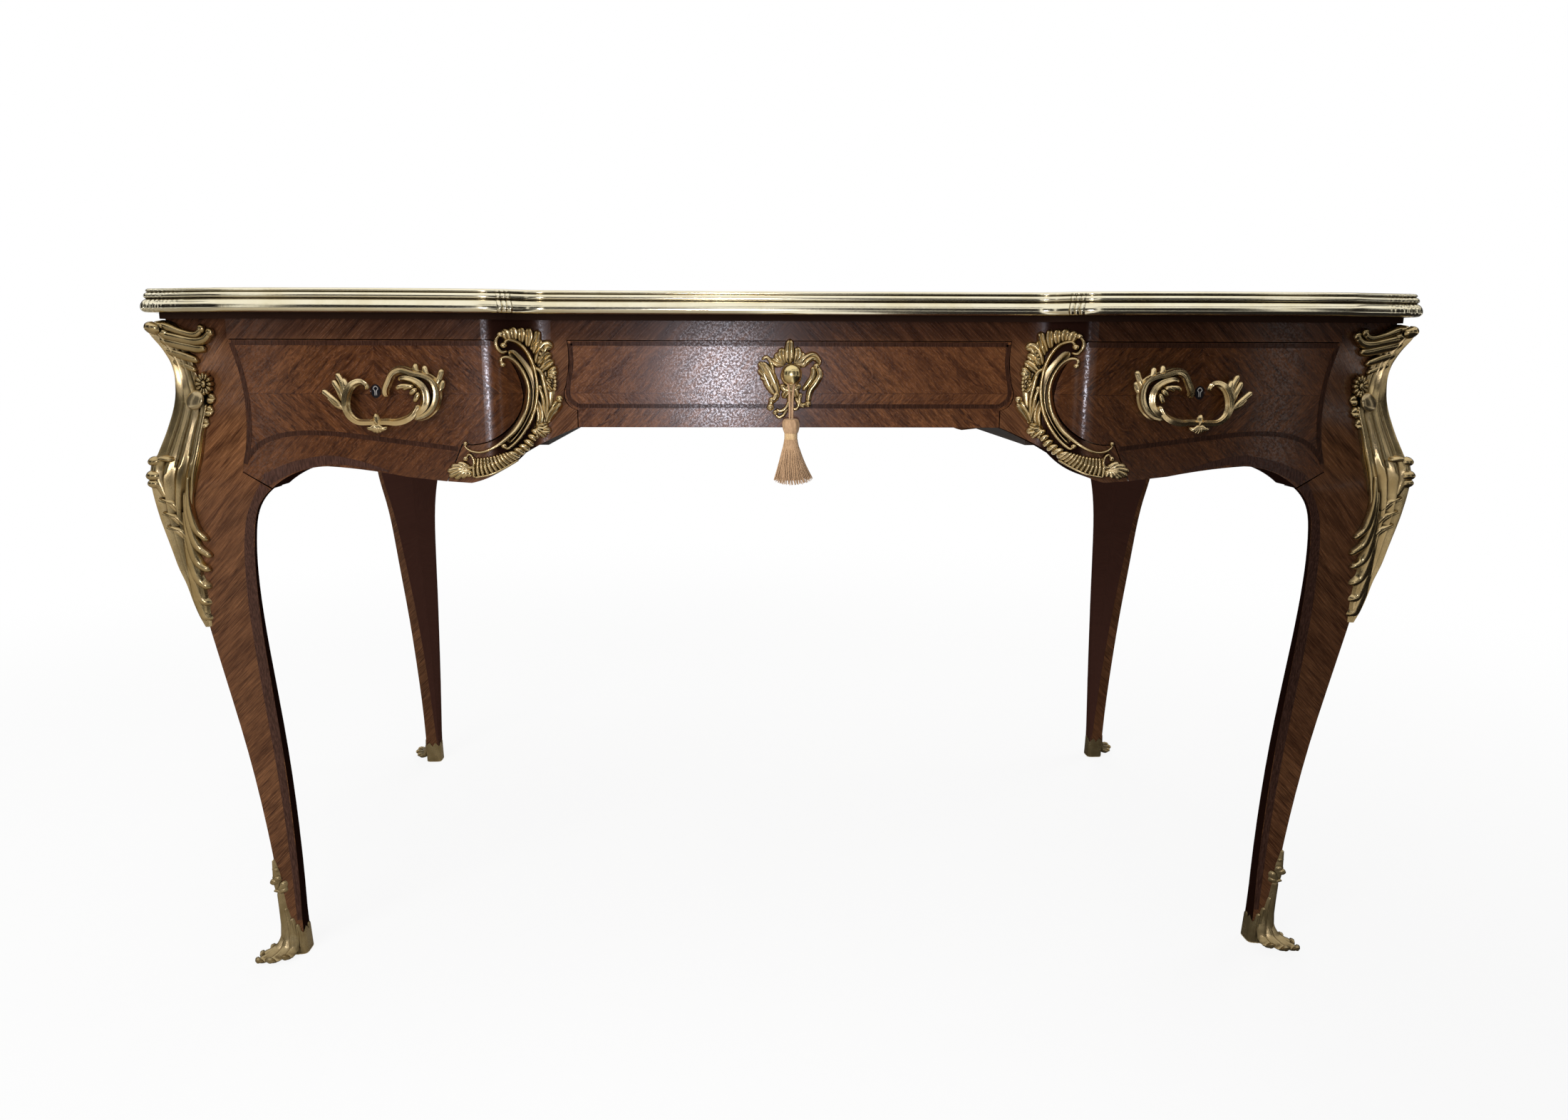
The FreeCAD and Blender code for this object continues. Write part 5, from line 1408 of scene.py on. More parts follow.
# %% Rods of the scroll mounts
INNER_ROD = [
    (299.5, 704.5), (300.5, 710.5), (295, 712.5), (287.3, 706.4), (280.2, 694.2), (276.8, 681),
    (277.9, 667.2), (281.8, 653.6), (288.9, 640.5), (298.2, 629.8), (309.3, 620.9), (321, 615.6),
    (331.5, 616.2), (337.8, 620.4), (338.2, 625),
]
OUTER_ROD = [
    (297.8, 724.4), (294.5, 729.6), (285.4, 726.8), (277, 717.7), (271, 704.3), (268.1, 689.7),
    (267.7, 676.1), (270.4, 661.4), (275.4, 647.8), (283.6, 634.2), (292, 624), (298.5, 618.6), (302, 622),
]
BED = [
    (292, 719), (282, 706), (275.5, 694), (272, 680), (273, 664), (278, 651), (286, 637.5), (296.5, 624.5),
]
TOP_HOOK = [(300.5, 735.5), (304.2, 729.5), (303.4, 722.1), (299.3, 717.3), (294, 718.8)]
# Place and radius of the knob at each end of a rod
ROD_ENDS = [
    (300.4, 735.4, 3.0), (298, 724.4, 3.0), (299.4, 704.8, 2.5), (338, 624.6, 2.3), (301.4, 621.4, 2.6),
]
INNER_WIDE, INNER_HIGH = (3.2, 4.2, 5.2, 5.4, 5.2, 4.4, 3.2, 2.6), (3.6, 5.6, 6.6, 6.8, 6.4, 5.4, 4.4, 3.4)
OUTER_WIDE, OUTER_HIGH = (3.4, 4.6, 5.2, 5.4, 5.2, 4.6, 3.2), (4.4, 6.2, 7, 7.2, 7, 6, 4.4)
scroll = Relief(on_front)
scroll.stroke(BED, (9, 13, 13.5, 13, 9), 2.6, "channel", across=10)
scroll.stroke(BED, (1.6, 2.6, 2.8, 2.6, 1.6), 4.6, lift=0.6)
scroll.stroke(INNER_ROD, INNER_WIDE, INNER_HIGH, lift=0.8)
scroll.stroke(OUTER_ROD, OUTER_WIDE, OUTER_HIGH, lift=0.8)
scroll.stroke(TOP_HOOK, (3.2, 4.2, 4.4, 3.6), (4.5, 5, 5, 4))
for u, v, r in ROD_ENDS:
    scroll.ball(u, v, r, 3.2)
print("rods of the scroll:", len(scroll.points), "points")

# %% [markdown]
# A wing of leaves grows from the scroll's outer side: a plume at the top, broad leaves that turn
# outwards below it, a curved spine, and small pearls between. Each leaf is one stroke or a few strokes
# from one root.

# %% Wing of the scroll mounts
WING = [(266, 729), (261, 715), (258, 696), (257.5, 677), (260, 658), (265, 641), (273, 627)]
SPINE = [(271, 702), (263, 697), (259.5, 684), (257, 670), (257.3, 658), (258.5, 645)]
# Root and tip of each leaf of the plume
PLUME = [
    ((293, 727), (297.5, 741)), ((288, 728), (290, 743.5)), ((282, 726), (282, 743.5)),
    ((276, 722), (274, 743)), ((272, 718), (264, 740.5)), ((270, 714), (262, 731.5)),
]
SMALL_PEARLS = [(264, 711.5), (262.4, 715.6), (260, 719.6)]
LARGE_PEARLS = [(248, 691), (247.6, 687), (247.8, 683), (248.5, 679.2)]
BOSSES = [(264.8, 680.6, 3.4), (243.4, 669.4, 4.2), (270.4, 702, 3.0)]


def scroll_wing(wax):
    wax.stroke(WING, (12, 17, 19, 18, 16, 14, 9), 2.4, "leaf", across=14)
    for root, tip in PLUME:
        wax.leaves(root, [tip], 11.5, (3.5, 6.5, 6), bend=0.05)
    upper = [(268, 704), (262.5, 716), (256, 724), (248.5, 722.5)]
    wax.stroke(upper, (8, 13, 14, 11), (4.5, 7.5, 7.5, 6.5), "leaf")
    wax.stroke([(263, 703), (257, 712.5), (250.5, 716)], (7, 11, 9), (5, 6.5, 5.5), "leaf")
    wax.stroke([(266, 696), (257, 703.5), (248.5, 709.5)], (7, 12, 10), (5, 7, 6), "leaf")
    wax.leaves((257, 695), [(245.5, 703), (244, 697.5), (246.5, 692)], 9, (5, 7, 6.5), "round", bend=0.04)
    wax.stroke(SPINE, (5, 7.4, 7.4, 6.4, 5.4, 3), (6, 8, 7.5, 6.5, 5.5, 4))
    wax.leaves((259, 690), [(252, 691), (250.5, 684), (250.5, 676.5)], 9, (4.5, 6, 5.5), bend=0.08)
    inner_spine = [(265.5, 681), (262, 671), (260.5, 660), (258.5, 648)]
    wax.stroke(inner_spine, (6, 6.6, 5.6, 3), (7, 7, 6, 4), lift=0.6)
    wax.stroke([(244, 668), (247.5, 661), (253, 654), (259, 643)], (11, 12, 10, 6), (6, 7, 6, 4), "leaf")
    wax.stroke([(270, 671), (266, 660), (265, 650), (268, 639)], (7, 11, 11, 8), (4, 6, 5.5), "leaf")
    wax.leaves((271, 640), [(256.5, 642.5), (253.5, 635.5), (259, 629.5)], 11, (5, 7.4, 6.4), bend=0.06)
    for u, v in SMALL_PEARLS:
        wax.ball(u, v, 1.8, 6)
    for u, v in LARGE_PEARLS:
        wax.ball(u, v, 2.3, 3.4)
    for u, v, r in BOSSES:
        wax.ball(u, v, r, 4)


scroll_wing(scroll)
print("with its wing:", len(scroll.points), "points")

# %% [markdown]
# A fluted shell fills the space under the rods and ends in a small curl and a fan of leaf tips. Its
# lobes and flutes go from one line to another in even steps. Then the whole drawing is cast four times,
# mirrored to each place.

# %% Shell of the scroll mounts
LOBE_ROOTS = [(276, 637), (282, 628), (290, 620), (298, 615)]
LOBE_TIPS = [(266.5, 631.5), (271, 621.5), (278.5, 614), (287, 608)]
FLUTE_ROOTS = [(300, 615), (309, 612.5), (319, 610.5), (329, 610)]
FLUTE_TIPS = [(289.5, 606), (301, 598), (315, 591.5), (331, 588)]
LOBES, FLUTES = 6, 11
SHELL_RIM = [(288, 606.5), (301, 598.6), (315, 592), (331, 588.8)]
SHELL_CURL = [(339, 608), (335, 613.5), (330.5, 608), (331.5, 600.5), (339, 599)]
FAN_TIPS = [(337, 588.5), (344, 588), (351, 587.5), (357, 590), (358.5, 595.5), (354.5, 601), (348, 604.5)]
CORNERS = [(f"{face}_{hand}", (sign, front)) for face, front in FACES for hand, sign in HANDS]


def at_share(t, line):
    """The point at share t of a line of points."""
    shares = np.linspace(0, 1, len(line))
    return [np.interp(t, shares, np.array(line)[:, k]) for k in (0, 1)]


def fluting(wax, roots, tips, count, bend, width, height, across):
    """Strokes side by side, each from a root to a tip, bent a little in the middle."""
    for t in np.linspace(0, 1, count):
        root, tip = at_share(t, roots), at_share(t, tips)
        wax.stroke([root, np.add(root, tip) / 2 + bend, tip], width, height, across=across)


def scroll_shell(wax):
    fluting(wax, LOBE_ROOTS, LOBE_TIPS, LOBES, (0.6, 1.0), (5, 8, 7), (4, 6.2, 4.8), 8)
    fluting(wax, FLUTE_ROOTS, FLUTE_TIPS, FLUTES, (1.2, -0.6), (3.4, 5, 5.4), (3.4, 5, 4.4), 6)
    wax.stroke(SHELL_RIM, 3.2, 4.2)
    wax.stroke(SHELL_CURL, (3, 3.6, 4.4, 6), (4.5, 6, 6.4, 5.5))
    wax.ball(338.6, 609, 2.8, 3)
    wax.leaves((333, 598), FAN_TIPS, 8.5, (3.5, 6, 4.8), "round", bend=0.06)


scroll_shell(scroll)
for at, flip in CORNERS:
    scroll.cast(f"scroll_mount_{at}", light_gilt, "gilt_mount", "desk", flip, "scroll_mounts")
print("scroll mounts of", len(scroll.points), "points each")

# %% [markdown]
# The pulls are cast loops that stand on two feet so that fingers go behind them. One end of the bar
# opens in a hand of five leaf fingers and a curl, the other in a large reeded curl with leaf tips, and
# a banded knot sits at the bottom. The lines of the bars go through points that also have a height
# above the wood.

# %% Lines of the pulls
PULL_LOOP = [
    (432, 679.5, 8), (431.5, 685, 11), (437, 688, 12.5), (444.5, 684.5, 13.5), (449.8, 675.5, 14),
    (451.6, 664, 14), (448.5, 654, 14), (441, 648, 14), (431, 647.2, 14), (413, 647.8, 14),
    (403, 647.2, 14), (393, 650, 14), (385.5, 655.5, 13.5), (380.5, 665, 13),
]
PULL_CURL = [
    (386, 650.5, 12), (374, 654.5, 12.5), (365, 664, 13), (362, 677, 13), (365.5, 688.5, 13),
    (374, 694, 13), (385, 696.5, 12.5), (396, 699.5, 12), (404.5, 696, 11), (409.5, 688, 9.5),
    (413.5, 679, 8), (413, 672, 6),
]
INNER_CURL = [
    (389, 652, 12), (379, 658.5, 13), (373, 668, 13), (374, 680, 13), (381, 687.5, 13), (391, 691, 12),
    (400, 690, 10),
]
LEAF_FINGERS = [
    [(454, 660, 12), (464, 670, 12), (475.8, 679.5, 9)],
    [(453, 667, 12.5), (458, 680, 12.5), (464.3, 689.7, 9.5)],
    [(451.5, 672, 13), (454, 686, 12.5), (460, 696.7, 9.5)],
    [(454, 661, 12), (462.5, 666, 12), (470, 674, 10)],
    [(450.5, 676, 13), (450.5, 684, 13), (453.8, 691.5, 10)],
]
CURL_TIPS = [
    [(368, 688, 12.5), (372, 697, 11.5), (373, 704.5, 9)],
    [(378, 694, 12.5), (381.5, 700, 11.5), (381.5, 706.5, 9)],
    [(364, 682, 12.5), (359, 691, 11), (356, 701, 9)],
    [(362.5, 676, 12.5), (357.5, 682, 11), (356, 690, 9)],
]
INNER_TIPS, INNER_ROOT = [(398, 683), (391.5, 682.5), (385.5, 678), (382.5, 671)], (376, 685)
print(len(PULL_LOOP), "points on the loop,", len(PULL_CURL), "on the large curl")

# %% [markdown]
# The bars are free rods with ribs. They swell in the bends and thin out towards the ends, as a carver
# would cut them. Two plain stems join the casting to the drawer.

# %% Drawer pulls
KNOT_X, KNOT_Z, KNOT_HALF = 422.5, 650.4, 6.5
PULL_FEET, FOOT_LIFTS = [(463.5, 688), (373.5, 696)], (-4.5, 4, 11)


def drawer_pull():
    wax = Relief(on_front)
    wax.rod(PULL_LOOP, (2.6, 3.4, 4.2, 4.6, 4.4, 3.8, 3.4, 3.3, 3.4, 3.8, 4.2, 3.6, 2.8), ribs=5)
    wax.rod(PULL_CURL, (2.8, 4.4, 5.2, 5.4, 5, 4.4, 4.8, 4.6, 4.2, 4.2, 3.6), ribs=6)
    wax.rod(INNER_CURL, (2.5, 4.2, 5, 5, 4.4, 3.8, 2.6), ribs=5)
    for line in LEAF_FINGERS + CURL_TIPS:
        wax.rod(line, (3, 3.5, 3.3, 3.6), around=10)
    for u, v in INNER_TIPS:
        halfway = ((u + INNER_ROOT[0]) / 2, (v + INNER_ROOT[1]) / 2, 13)
        wax.rod([halfway, (u, v, 13), (u + 3, v - 3.5, 10)], (2.4, 2.8, 2.4))
    # The knot, and the palmette under it
    knot = [(KNOT_X, KNOT_Z + KNOT_HALF, 14), (KNOT_X, KNOT_Z, 15), (KNOT_X, KNOT_Z - KNOT_HALF, 14)]
    wax.rod(knot, (3, 4, 3), ribs=4)
    for k in range(-3, 4):
        tip = (KNOT_X + 3.4 * k, KNOT_Z - 14.5 + k * k * 0.8, 12.5)
        wax.rod([(KNOT_X, KNOT_Z - 4, 14.5), (KNOT_X + 2 * k, KNOT_Z - 9.5, 15), tip], (1.6, 2.4, 2))
    for u, v in PULL_FEET:
        wax.rod([(u, v, lift) for lift in FOOT_LIFTS], (5.2, 3.2, 3.2), around=12)
    return wax


pull = drawer_pull()
for hand, sign in HANDS:
    node = f"{hand}_drawer_handle"
    pull.cast(f"{hand}_pull", light_gilt, "gilt_mount", f"{hand}_drawer", (sign, 1), node)
print("pulls of", len(pull.points), "points each")

# %% [markdown]
# Above each pull's bar is a small keyhole: a black iron insert with a bright filed rim. Inside the rim the
# insert's black is painted shade, standing for the opening of the keyhole. It is modelled, because it
# shows as a dark spot with a thin light line round it even from a few steps away.

# %% Side keyholes
SIDE_KEYHOLE, INSERT_HALF, INSERT_WIDE, INSERT_HIGH = (425.5, 678), 7, 8.4, 0.5
KEYHOLE_RIM = [(0.9, -4.6), (0.9, 0.4), (2.4, 2.6), (0, 5), (-2.4, 2.6), (-0.9, 0.4), (-0.9, -4.6)]
RIM_RADIUS, RIM_STEP = 0.55, 0.8
hole_x, hole_z = SIDE_KEYHOLE
insert, rim = Relief(on_front), Relief(on_front)
insert_line = [(hole_x, hole_z - INSERT_HALF), (hole_x, hole_z + INSERT_HALF)]
insert.stroke(insert_line, INSERT_WIDE, INSERT_HIGH, "flat")
rim.rod([(hole_x + du, hole_z + dv, INSERT_HIGH) for du, dv in KEYHOLE_RIM], RIM_RADIUS, step=RIM_STEP)
for hand, sign in HANDS:
    for kind, relief, paint in (("insert", insert, black_iron_and_hole_shade), ("rim", rim, bright_iron)):
        name, node = f"{hand}_keyhole_{kind}", f"{hand}_drawer_keyhole"
        relief.cast(name, paint, "ironwork", f"{hand}_drawer", (sign, 1), node)
print("2 keyholes, each an insert and a rim")

# %% [markdown]
# A pierced plate of leaves and curls surrounds the middle keyhole. It isn't the same on both sides: a
# broad leaf on the left, an open curl on the right. Strokes on the flat drawer front make it, round a
# plain ring for the key.

# %% Keyhole plate
RING_X, RING_Z, RING_WIDE, RING_TALL = 1, 694, 9, 9.5
LEFT_TIPS = [(-33, 708.5), (-34, 701), (-32, 693.5), (-29, 686), (-25.5, 679.5)]
RIGHT_LEAF = [(11, 702), (16, 710), (24, 714), (30, 708.5), (27.5, 703)]
RIGHT_CURL = [(27.8, 704), (31.5, 695), (27, 686), (21, 677), (19, 664.5)]
CURL_EYES = [(-21, 660.5, 4.2), (-19.5, 668, 3.6), (19, 664, 3.8), (27.5, 703.5, 3.6), (-15.5, 655, 3.2)]


def keyhole_plate():
    wax = Relief(on_front)
    turn = np.linspace(0, math.tau, 25)
    ring = [(RING_X + RING_WIDE * math.cos(a), RING_Z + RING_TALL * math.sin(a)) for a in turn]
    wax.stroke(ring, 5, 3.4)
    # The upright leaf at the top and its lower neighbours
    wax.stroke([(-1, 706), (-1.5, 718), (-0.5, 732)], (12, 12, 9), (4, 5.6, 4.6), "leaf")
    wax.leaves((5, 705), [(7, 724), (13, 719), (18.5, 712.5)], 10.5, (3.4, 5, 4.6), bend=-0.1)
    wax.leaves((-6, 705), [(-9, 723), (-15, 718), (-21, 711)], 10.5, (3.4, 5, 4.6), bend=0.1)
    # Left: a broad leaf with lobes on its outer edge
    wax.stroke([(-13, 673), (-19, 684), (-25, 697), (-31, 708)], (11, 17, 17, 9), (3.6, 5.4, 5, 3.6), "leaf")
    wax.leaves((-19, 689), LEFT_TIPS, 9, (3.4, 5, 4.6), bend=0.06)
    wax.stroke([(-30.5, 710), (-25, 713), (-20, 706), (-17, 694)], (4, 5, 5, 3), (3.4, 5, 4))
    wax.stroke([(-13, 677), (-16, 670), (-20, 666), (-21, 660)], (8, 8, 7, 6), (4, 5, 4.6))
    # Right: an open curl with an inner leaf
    wax.stroke(RIGHT_LEAF, (8, 12, 11, 8, 5), (4, 5.8, 5.8, 4.8, 3.6), "leaf")
    wax.stroke(RIGHT_CURL, (6, 8.4, 8.4, 8, 6), (3.8, 5.4, 5.6, 4.8, 4))
    wax.stroke([(24, 704), (24, 694), (19.5, 686), (13, 678)], (6, 7, 7, 5), (3, 4.4, 4))
    wax.stroke([(18.5, 664), (12, 662.5), (9.5, 668), (12, 676)], (6, 6, 5.6, 4.6), (3.8, 4.8, 4))
    # Under the ring: a small leaf and curls
    wax.stroke([(-10, 685), (-5, 679), (5, 679), (11, 685)], (7, 8, 8, 7), (3.4, 4.4, 3.4))
    wax.leaves((0, 685), [(-8, 670), (0, 665), (8, 670)], 10, (3.4, 4.8, 4.2), bend=0.04)
    wax.stroke([(5, 671), (9, 664), (6.5, 658.5), (1, 660)], (4.4, 5, 4.6, 3.4), (3.4, 4.4, 3.6))
    wax.stroke([(0, 668), (-4, 660), (-10, 656.5), (-15.5, 658.5)], (5.4, 5, 4.8, 4), (3.4, 4.4, 4))
    wax.stroke([(-3, 660), (-6.5, 652.5), (-12, 650), (-15.5, 653.5)], (4.4, 4.8, 4.6, 3.6), (3.4, 4.4, 4))
    for u, v, r in CURL_EYES:
        wax.ball(u, v, r, 2.2)
    return wax


plate = keyhole_plate()
plate.cast("keyhole_plate_cast", light_gilt, "gilt_mount", "centre_drawer", stands_for="keyhole_plate")
print("keyhole plate of", len(plate.points), "points")

# %% [markdown]
# The corner mounts follow the bend of the legs' outer edge. The drawing is laid over the edge itself:
# one coordinate runs up the leg, the other goes round the corner, and a ray towards the leg finds the
# wood. The body is a wide strip with lengthwise flutes, thickest on the corner, whose reach and height
# change down the leg.

# %% Body of the corner mounts
DIAGONAL = Vector((1, -1, 0)).normalized()
CORNER = Vector((CORNER_X, -CORNER_Y, 0)) * MM
EYE_OUT, WRAP = 0.2, 22.0
LEG_LOW, LEG_TOP = 6.0, 749.0
KNEE_LOW, KNEE_HIGH, FRONT_LEAN = 500.0, 577.0, 0.27
# Height up the leg, reach to each side and thickness on the corner
BODY_ROWS = [
    (743, 10, 17), (734, 13, 16), (722, 16, 12.5), (708, 17, 11), (696, 17, 11.5), (682, 21, 12),
    (668, 31, 11), (650, 35.5, 9.5), (630, 36.5, 8.5), (612, 37.5, 9.5), (600, 36, 12), (588, 33, 13.5),
    (575, 29, 13.5), (560, 24, 13.5), (545, 20, 13.5), (530, 19, 13), (510, 16, 12), (490, 13, 11),
    (470, 10, 8.5), (450, 8, 7.5), (434, 5.5, 6), (420, 2.5, 3.5),
]
BODY_STEP, BODY_ACROSS, BODY_THIN, BODY_SUNK = 4.0, 48, 3.4, 0.8
BODY_FLUTES, FLUTE_DEEP = 4, 0.19


def on_corner(d, z, lift):
    """The point d mm round the leg's outer corner, from front (minus) to side (plus), at height z."""
    up_knee = min(1.0, max(0.0, (z - KNEE_LOW) / (KNEE_HIGH - KNEE_LOW)))
    lean = 1 + FRONT_LEAN * up_knee if d < 0 else 1.0
    eye = CORNER + DIAGONAL * EYE_OUT + Vector((d, d, 0)) * 0.5 * lean * MM
    eye.z = max(LEG_LOW, min(z, LEG_TOP)) * MM
    hit, normal, face, far = right_leg.ray_cast(eye, -DIAGONAL)
    if hit is None:
        hit = eye - DIAGONAL * EYE_OUT
    angle = max(-1.0, min(1.0, d / WRAP)) * math.pi / 4
    away = Matrix.Rotation(angle, 3, "Z") @ DIAGONAL
    hit.z = z * MM
    return hit + away * lift * MM


def corner_body(wax):
    line, share = through(BODY_ROWS, BODY_STEP)
    first = len(wax.points)
    for z, reach, lift in line:
        for a in np.linspace(-1, 1, BODY_ACROSS + 1):
            swell = BODY_THIN + (max(lift, BODY_THIN) - BODY_THIN) * (1 - abs(a)) ** 1.5
            flute = FLUTE_DEEP * lift * math.cos(a * math.tau * BODY_FLUTES) * (1 - a**6)
            wax.points.append(wax.place(a * reach, z, swell + flute if abs(a) < 0.99 else -BODY_SUNK))
    wax.faces += tube_faces(len(line), BODY_ACROSS + 1, first)


corner = Relief(on_corner)
corner_body(corner)
print("body of the corner mounts:", len(corner.points), "points")

# %% [markdown]
# Both sides of the body carry the same ornament: a flared fan at the top, a daisy, a polished button of
# its own, lobes on the outer edge, curls at the knee and long fingers of leaf at the tail. The lines
# are drawn for the front face, with the place round the corner first and then the height.

# %% Lines of the corner ornament
FAN_STROKES = [
    ([(9, 743), (-6, 743), (-20, 736.5), (-35, 734), (-44, 740)], (9, 11, 10, 9, 8), 9.5),
    ([(9, 737), (-11, 731.5), (-29, 727.5), (-43, 729), (-53.5, 736.5)], (11, 12, 11, 10, 8), 9.0),
    ([(6, 729), (-13, 723.5), (-30, 720), (-42, 720.5)], (11, 12, 11, 8), 8.5),
    ([(5, 718), (-13, 711.5), (-25.5, 707)], (11, 12, 8), 8.0),
    ([(4, 707), (-9, 701), (-17.5, 697)], (9, 10, 7), 7.0),
]
FAN_ENDS = [(-43.5, 740), (-53, 736.5)]
TAIL_FINGERS = [
    [(-25, 590), (-20, 556), (-20, 532), (-29, 518)],
    [(-20, 573), (-15.5, 538), (-16.5, 513), (-28.5, 500)],
    [(-15, 552), (-11, 518), (-11.5, 495), (-21.5, 484)],
    [(-10, 530), (-6.5, 498), (-7, 475), (-15, 464)],
    [(-6, 505), (-3, 474), (-3, 454), (-9, 445)],
    [(-3, 480), (-1, 452), (-1, 435), (-4.5, 427)],
]
DAISY, BUTTON, PETALS, PETAL_LONG = (-28, 684), (-19, 667.5), 12, 13
EDGE_LOBES = [(-42.5, 669), (-42, 656), (-39, 643)]
BODY_RIM = [(-31, 664), (-31, 640), (-31.5, 615), (-28.5, 590), (-23.5, 566), (-20, 548)]
KNEE_CURL = [(-13, 606), (-4, 607), (-1, 595), (-3, 581), (-6, 566)]
KNEE_LEAVES = (566, 551, 536)
KNEE_BOSSES = [(605, 5.2), (590, 5.8), (581.5, 5.0)]
print(len(FAN_STROKES), "strokes in the fan,", len(TAIL_FINGERS), "fingers,", PETALS, "petals")

# %% [markdown]
# One function draws a face of the leg, and a sign turns it to the front or to the end of the desk. The
# buttons are separate pieces, because they are polished in another tone. Then everything is mirrored to
# the four corners.

# %% Ornament of the corner mounts
def corner_face(wax, side):
    """What lies on one face of the leg: side is 1 for the front and -1 for the desk's end."""

    def to_face(line):
        return [(d * side, z) for d, z in line]

    for line, width, height in FAN_STROKES:
        wax.stroke(to_face(line), width, (height, height * 0.8, height * 0.62), lift=(6, 2.5, 0.6), step=2.0)
    for d, z in FAN_ENDS:
        wax.ball(d * side, z, 5.0, 3.0)
    for line in TAIL_FINGERS:
        wax.stroke(to_face(line), (4, 6, 8, 10, 9), (5, 6, 7, 7, 6), lift=(3, 2.4, 1.4, 0.4))
    for d, z in EDGE_LOBES:
        wax.leaves((-27 * side, z + 4), [(d * side, z)], 16, (4, 6.5, 5.5), bend=0.1 * side)
    wax.stroke(to_face(BODY_RIM), (6, 6.5, 6, 5, 4), (6.5, 6.5, 6.5, 6, 5.5))
    for angle in circle(PETALS):
        du, dv = PETAL_LONG * math.cos(angle), PETAL_LONG * math.sin(angle)
        petal = [(DAISY[0] + du * 0.25, DAISY[1] + dv * 0.25), (DAISY[0] + du, DAISY[1] + dv)]
        wax.stroke(to_face(petal), (2.5, 6.2, 6), (6.5, 7.5, 6.5), lift=2)
    wax.ball(DAISY[0] * side, DAISY[1], 4.2, 7)
    wax.stroke(to_face(KNEE_CURL), (6, 8, 8, 7, 4), (6, 8, 8, 7, 5), lift=8)
    for z in KNEE_LEAVES:
        leaf = [(0, z), (-7, z - 6), (-11, z - 17)]
        wax.stroke(to_face(leaf), (6, 8, 6), (7, 6, 5), "leaf", lift=(9, 6, 3))


corner_face(corner, 1)
corner_face(corner, -1)
corner.ball(0, 740.5, 7, 15.5)
for z, radius in KNEE_BOSSES:
    corner.ball(0, z, radius, 14.5)
buttons = Relief(on_corner)
for side in (-1, 1):
    buttons.ball(BUTTON[0] * side, BUTTON[1], 10.2, 7.5, flatten=0.5, rings=8, around=32)
for at, flip in CORNERS:
    corner.cast(f"corner_mount_{at}", gilt, "gilt_mount", "desk", flip, "corner_mounts")
    buttons.cast(f"corner_buttons_{at}", button_gilt, "gilt_mount", "desk", flip, "corner_mounts")
print("corner mounts of", len(corner.points), "points each")

# %% [markdown]
# Each foot stands in a cast shoe: a cuff with a ragged leaf edge, five toes that roll outwards, and a
# leaf that climbs the corner to a bud. The cuff comes first: a ring of points round the foot whose top
# edge rises and falls.

# %% Cuffs of the shoes
FOOT_LOW, FOOT_LEAN = (590.5, -304.5), (1.5 / 40, -1.5 / 40)
FOOT_HALF, CUFF_WALL, CUFF_INSIDE, SQUARENESS = 11.0, 1.7, -0.5, 4.6
CUFF_TOP, CUFF_PEAK, CUFF_RAGS, CUFF_LEVELS, CUFF_AROUND = 28.0, 14, 6.0, 9, 96
CUFF_FLUTES, FLUTE_HIGH, CUFF_FLARE = 22, 0.9, 3.0
OUTWARD, NEAR_CORNER = -math.pi / 4, 0.9


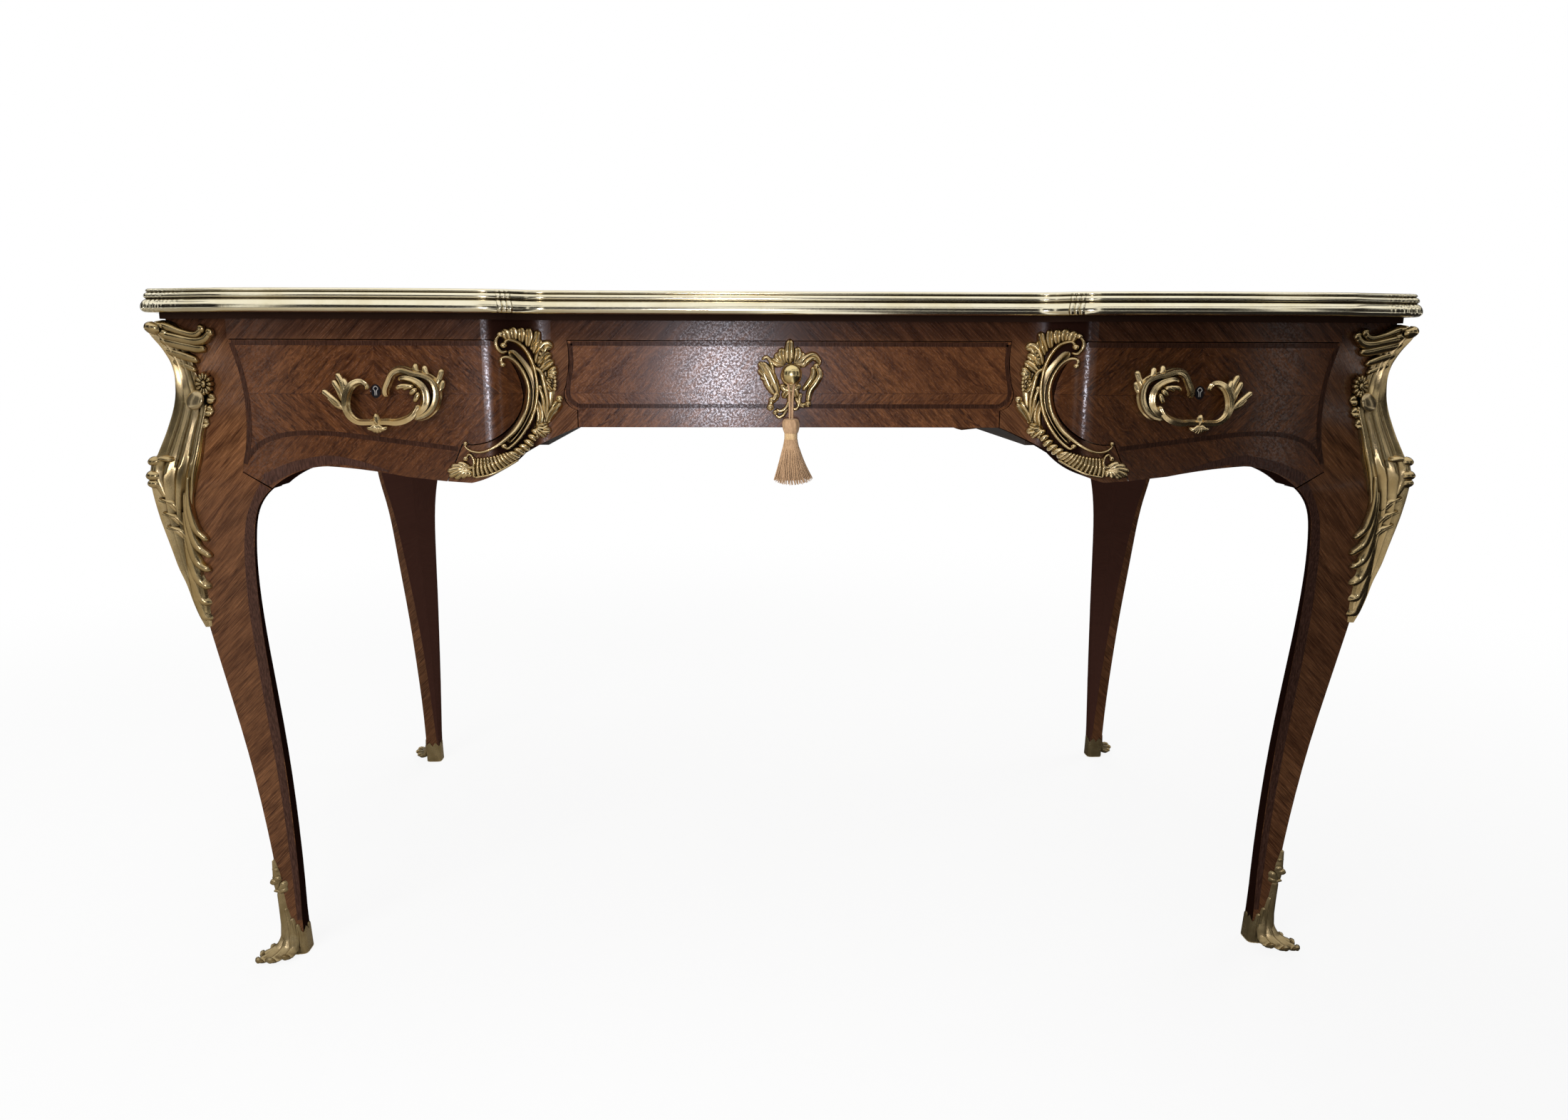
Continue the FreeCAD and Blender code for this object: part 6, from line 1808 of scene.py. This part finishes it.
def cuff(wax):
    """A ring of points round the foot, squarish, with a ragged top and flutes near the outer corner."""
    first = len(wax.points)
    rows = [(level, CUFF_WALL) for level in np.linspace(0, 1, CUFF_LEVELS)] + [(1.0, CUFF_INSIDE)]
    for level, wall in rows:
        for angle in circle(CUFF_AROUND):
            turn = (angle - OUTWARD + math.pi) % math.tau - math.pi
            near = math.exp(-((turn / NEAR_CORNER) ** 2))
            z = level * (CUFF_TOP + CUFF_PEAK * near + CUFF_RAGS * abs(math.sin(angle * 4)) ** 1.5)
            bulge = abs(math.cos(angle)) ** SQUARENESS + abs(math.sin(angle)) ** SQUARENESS
            flute = (FLUTE_HIGH * math.cos(angle * CUFF_FLUTES) + CUFF_FLARE * (1 - level) ** 3) * near
            r = (FOOT_HALF + wall) / bulge ** (1 / SQUARENESS) + flute
            x = FOOT_LOW[0] + FOOT_LEAN[0] * z + r * math.cos(angle)
            y = FOOT_LOW[1] + FOOT_LEAN[1] * z + r * math.sin(angle)
            wax.points.append(Vector((x, y, z)) * MM)
    wax.faces += tube_faces(len(rows), CUFF_AROUND, first)


shoe = Relief(on_corner)
cuff(shoe)
print("cuff of", len(shoe.points), "points")

# %% [markdown]
# A toe is a ribbed rod that starts under the cuff's edge and bends outwards, with a second short rod as
# its rolled tip. Leaves climb the corner above the toes. Both use the same coordinates round the corner
# as the mount above.

# %% Toes and leaves of the shoes
# Place round the corner and reach of each toe
TOES = [(0, 35), (6, 30), (-6, 30), (12, 20), (-12, 20)]
for u, far in TOES:
    toe = [(u * 0.8, 44, -1), (u * 0.9, 24, 1.5), (u, 11, far * 0.3), (u, 6, far * 0.68), (u, 5, far)]
    shoe.rod(toe, (2.6, 4.4, 5.8, 5, 4.2), ribs=4)
    shoe.rod([(u, 8, far - 2.6), (u, 6.5, far + 0.6), (u, 3.4, far + 1.4)], (2.8, 3.6, 2.8), around=10)
shoe.stroke([(0, 84), (0, 60), (0, 34), (0, 18)], (10, 13, 16, 12), (4.4, 4.8, 5.4, 8), "leaf")
for side in (-1, 1):
    shoe.stroke([(4 * side, 14), (7 * side, 36), (5 * side, 62)], (8, 8, 4), (5, 4.6, 3.6), "leaf")
    shoe.stroke([(9 * side, 10), (12 * side, 28), (11 * side, 48)], (8, 8, 4), (4.4, 4, 3.2), "leaf")
    shoe.stroke([(15 * side, 8), (17 * side, 24), (16 * side, 40)], (7, 7, 4), (3.6, 3.4, 3), "leaf")
    shoe.leaves((1 * side, 85), [(10 * side, 89), (8.5 * side, 98)], 8, (4.5, 6, 5), "round")
    shoe.ball(3.6 * side, 102, 3.4, 3.4)
    shoe.ball(3 * side, 113, 2.6, 2.6)
shoe.stroke([(-7.5, 83), (0, 86), (7.5, 83)], 5.4, 6.4)
shoe.stroke([(0, 86), (0, 106), (0, 126)], (11, 9, 2.4), (6, 6, 2.8), "leaf")
shoe.ball(0, 98, 4.2, 5)
for at, flip in CORNERS:
    shoe.cast(f"shoe_{at}", shoe_gilt, "gilt_mount", "desk", flip, "foot_shoes")
print("shoes of", len(shoe.points), "points each")
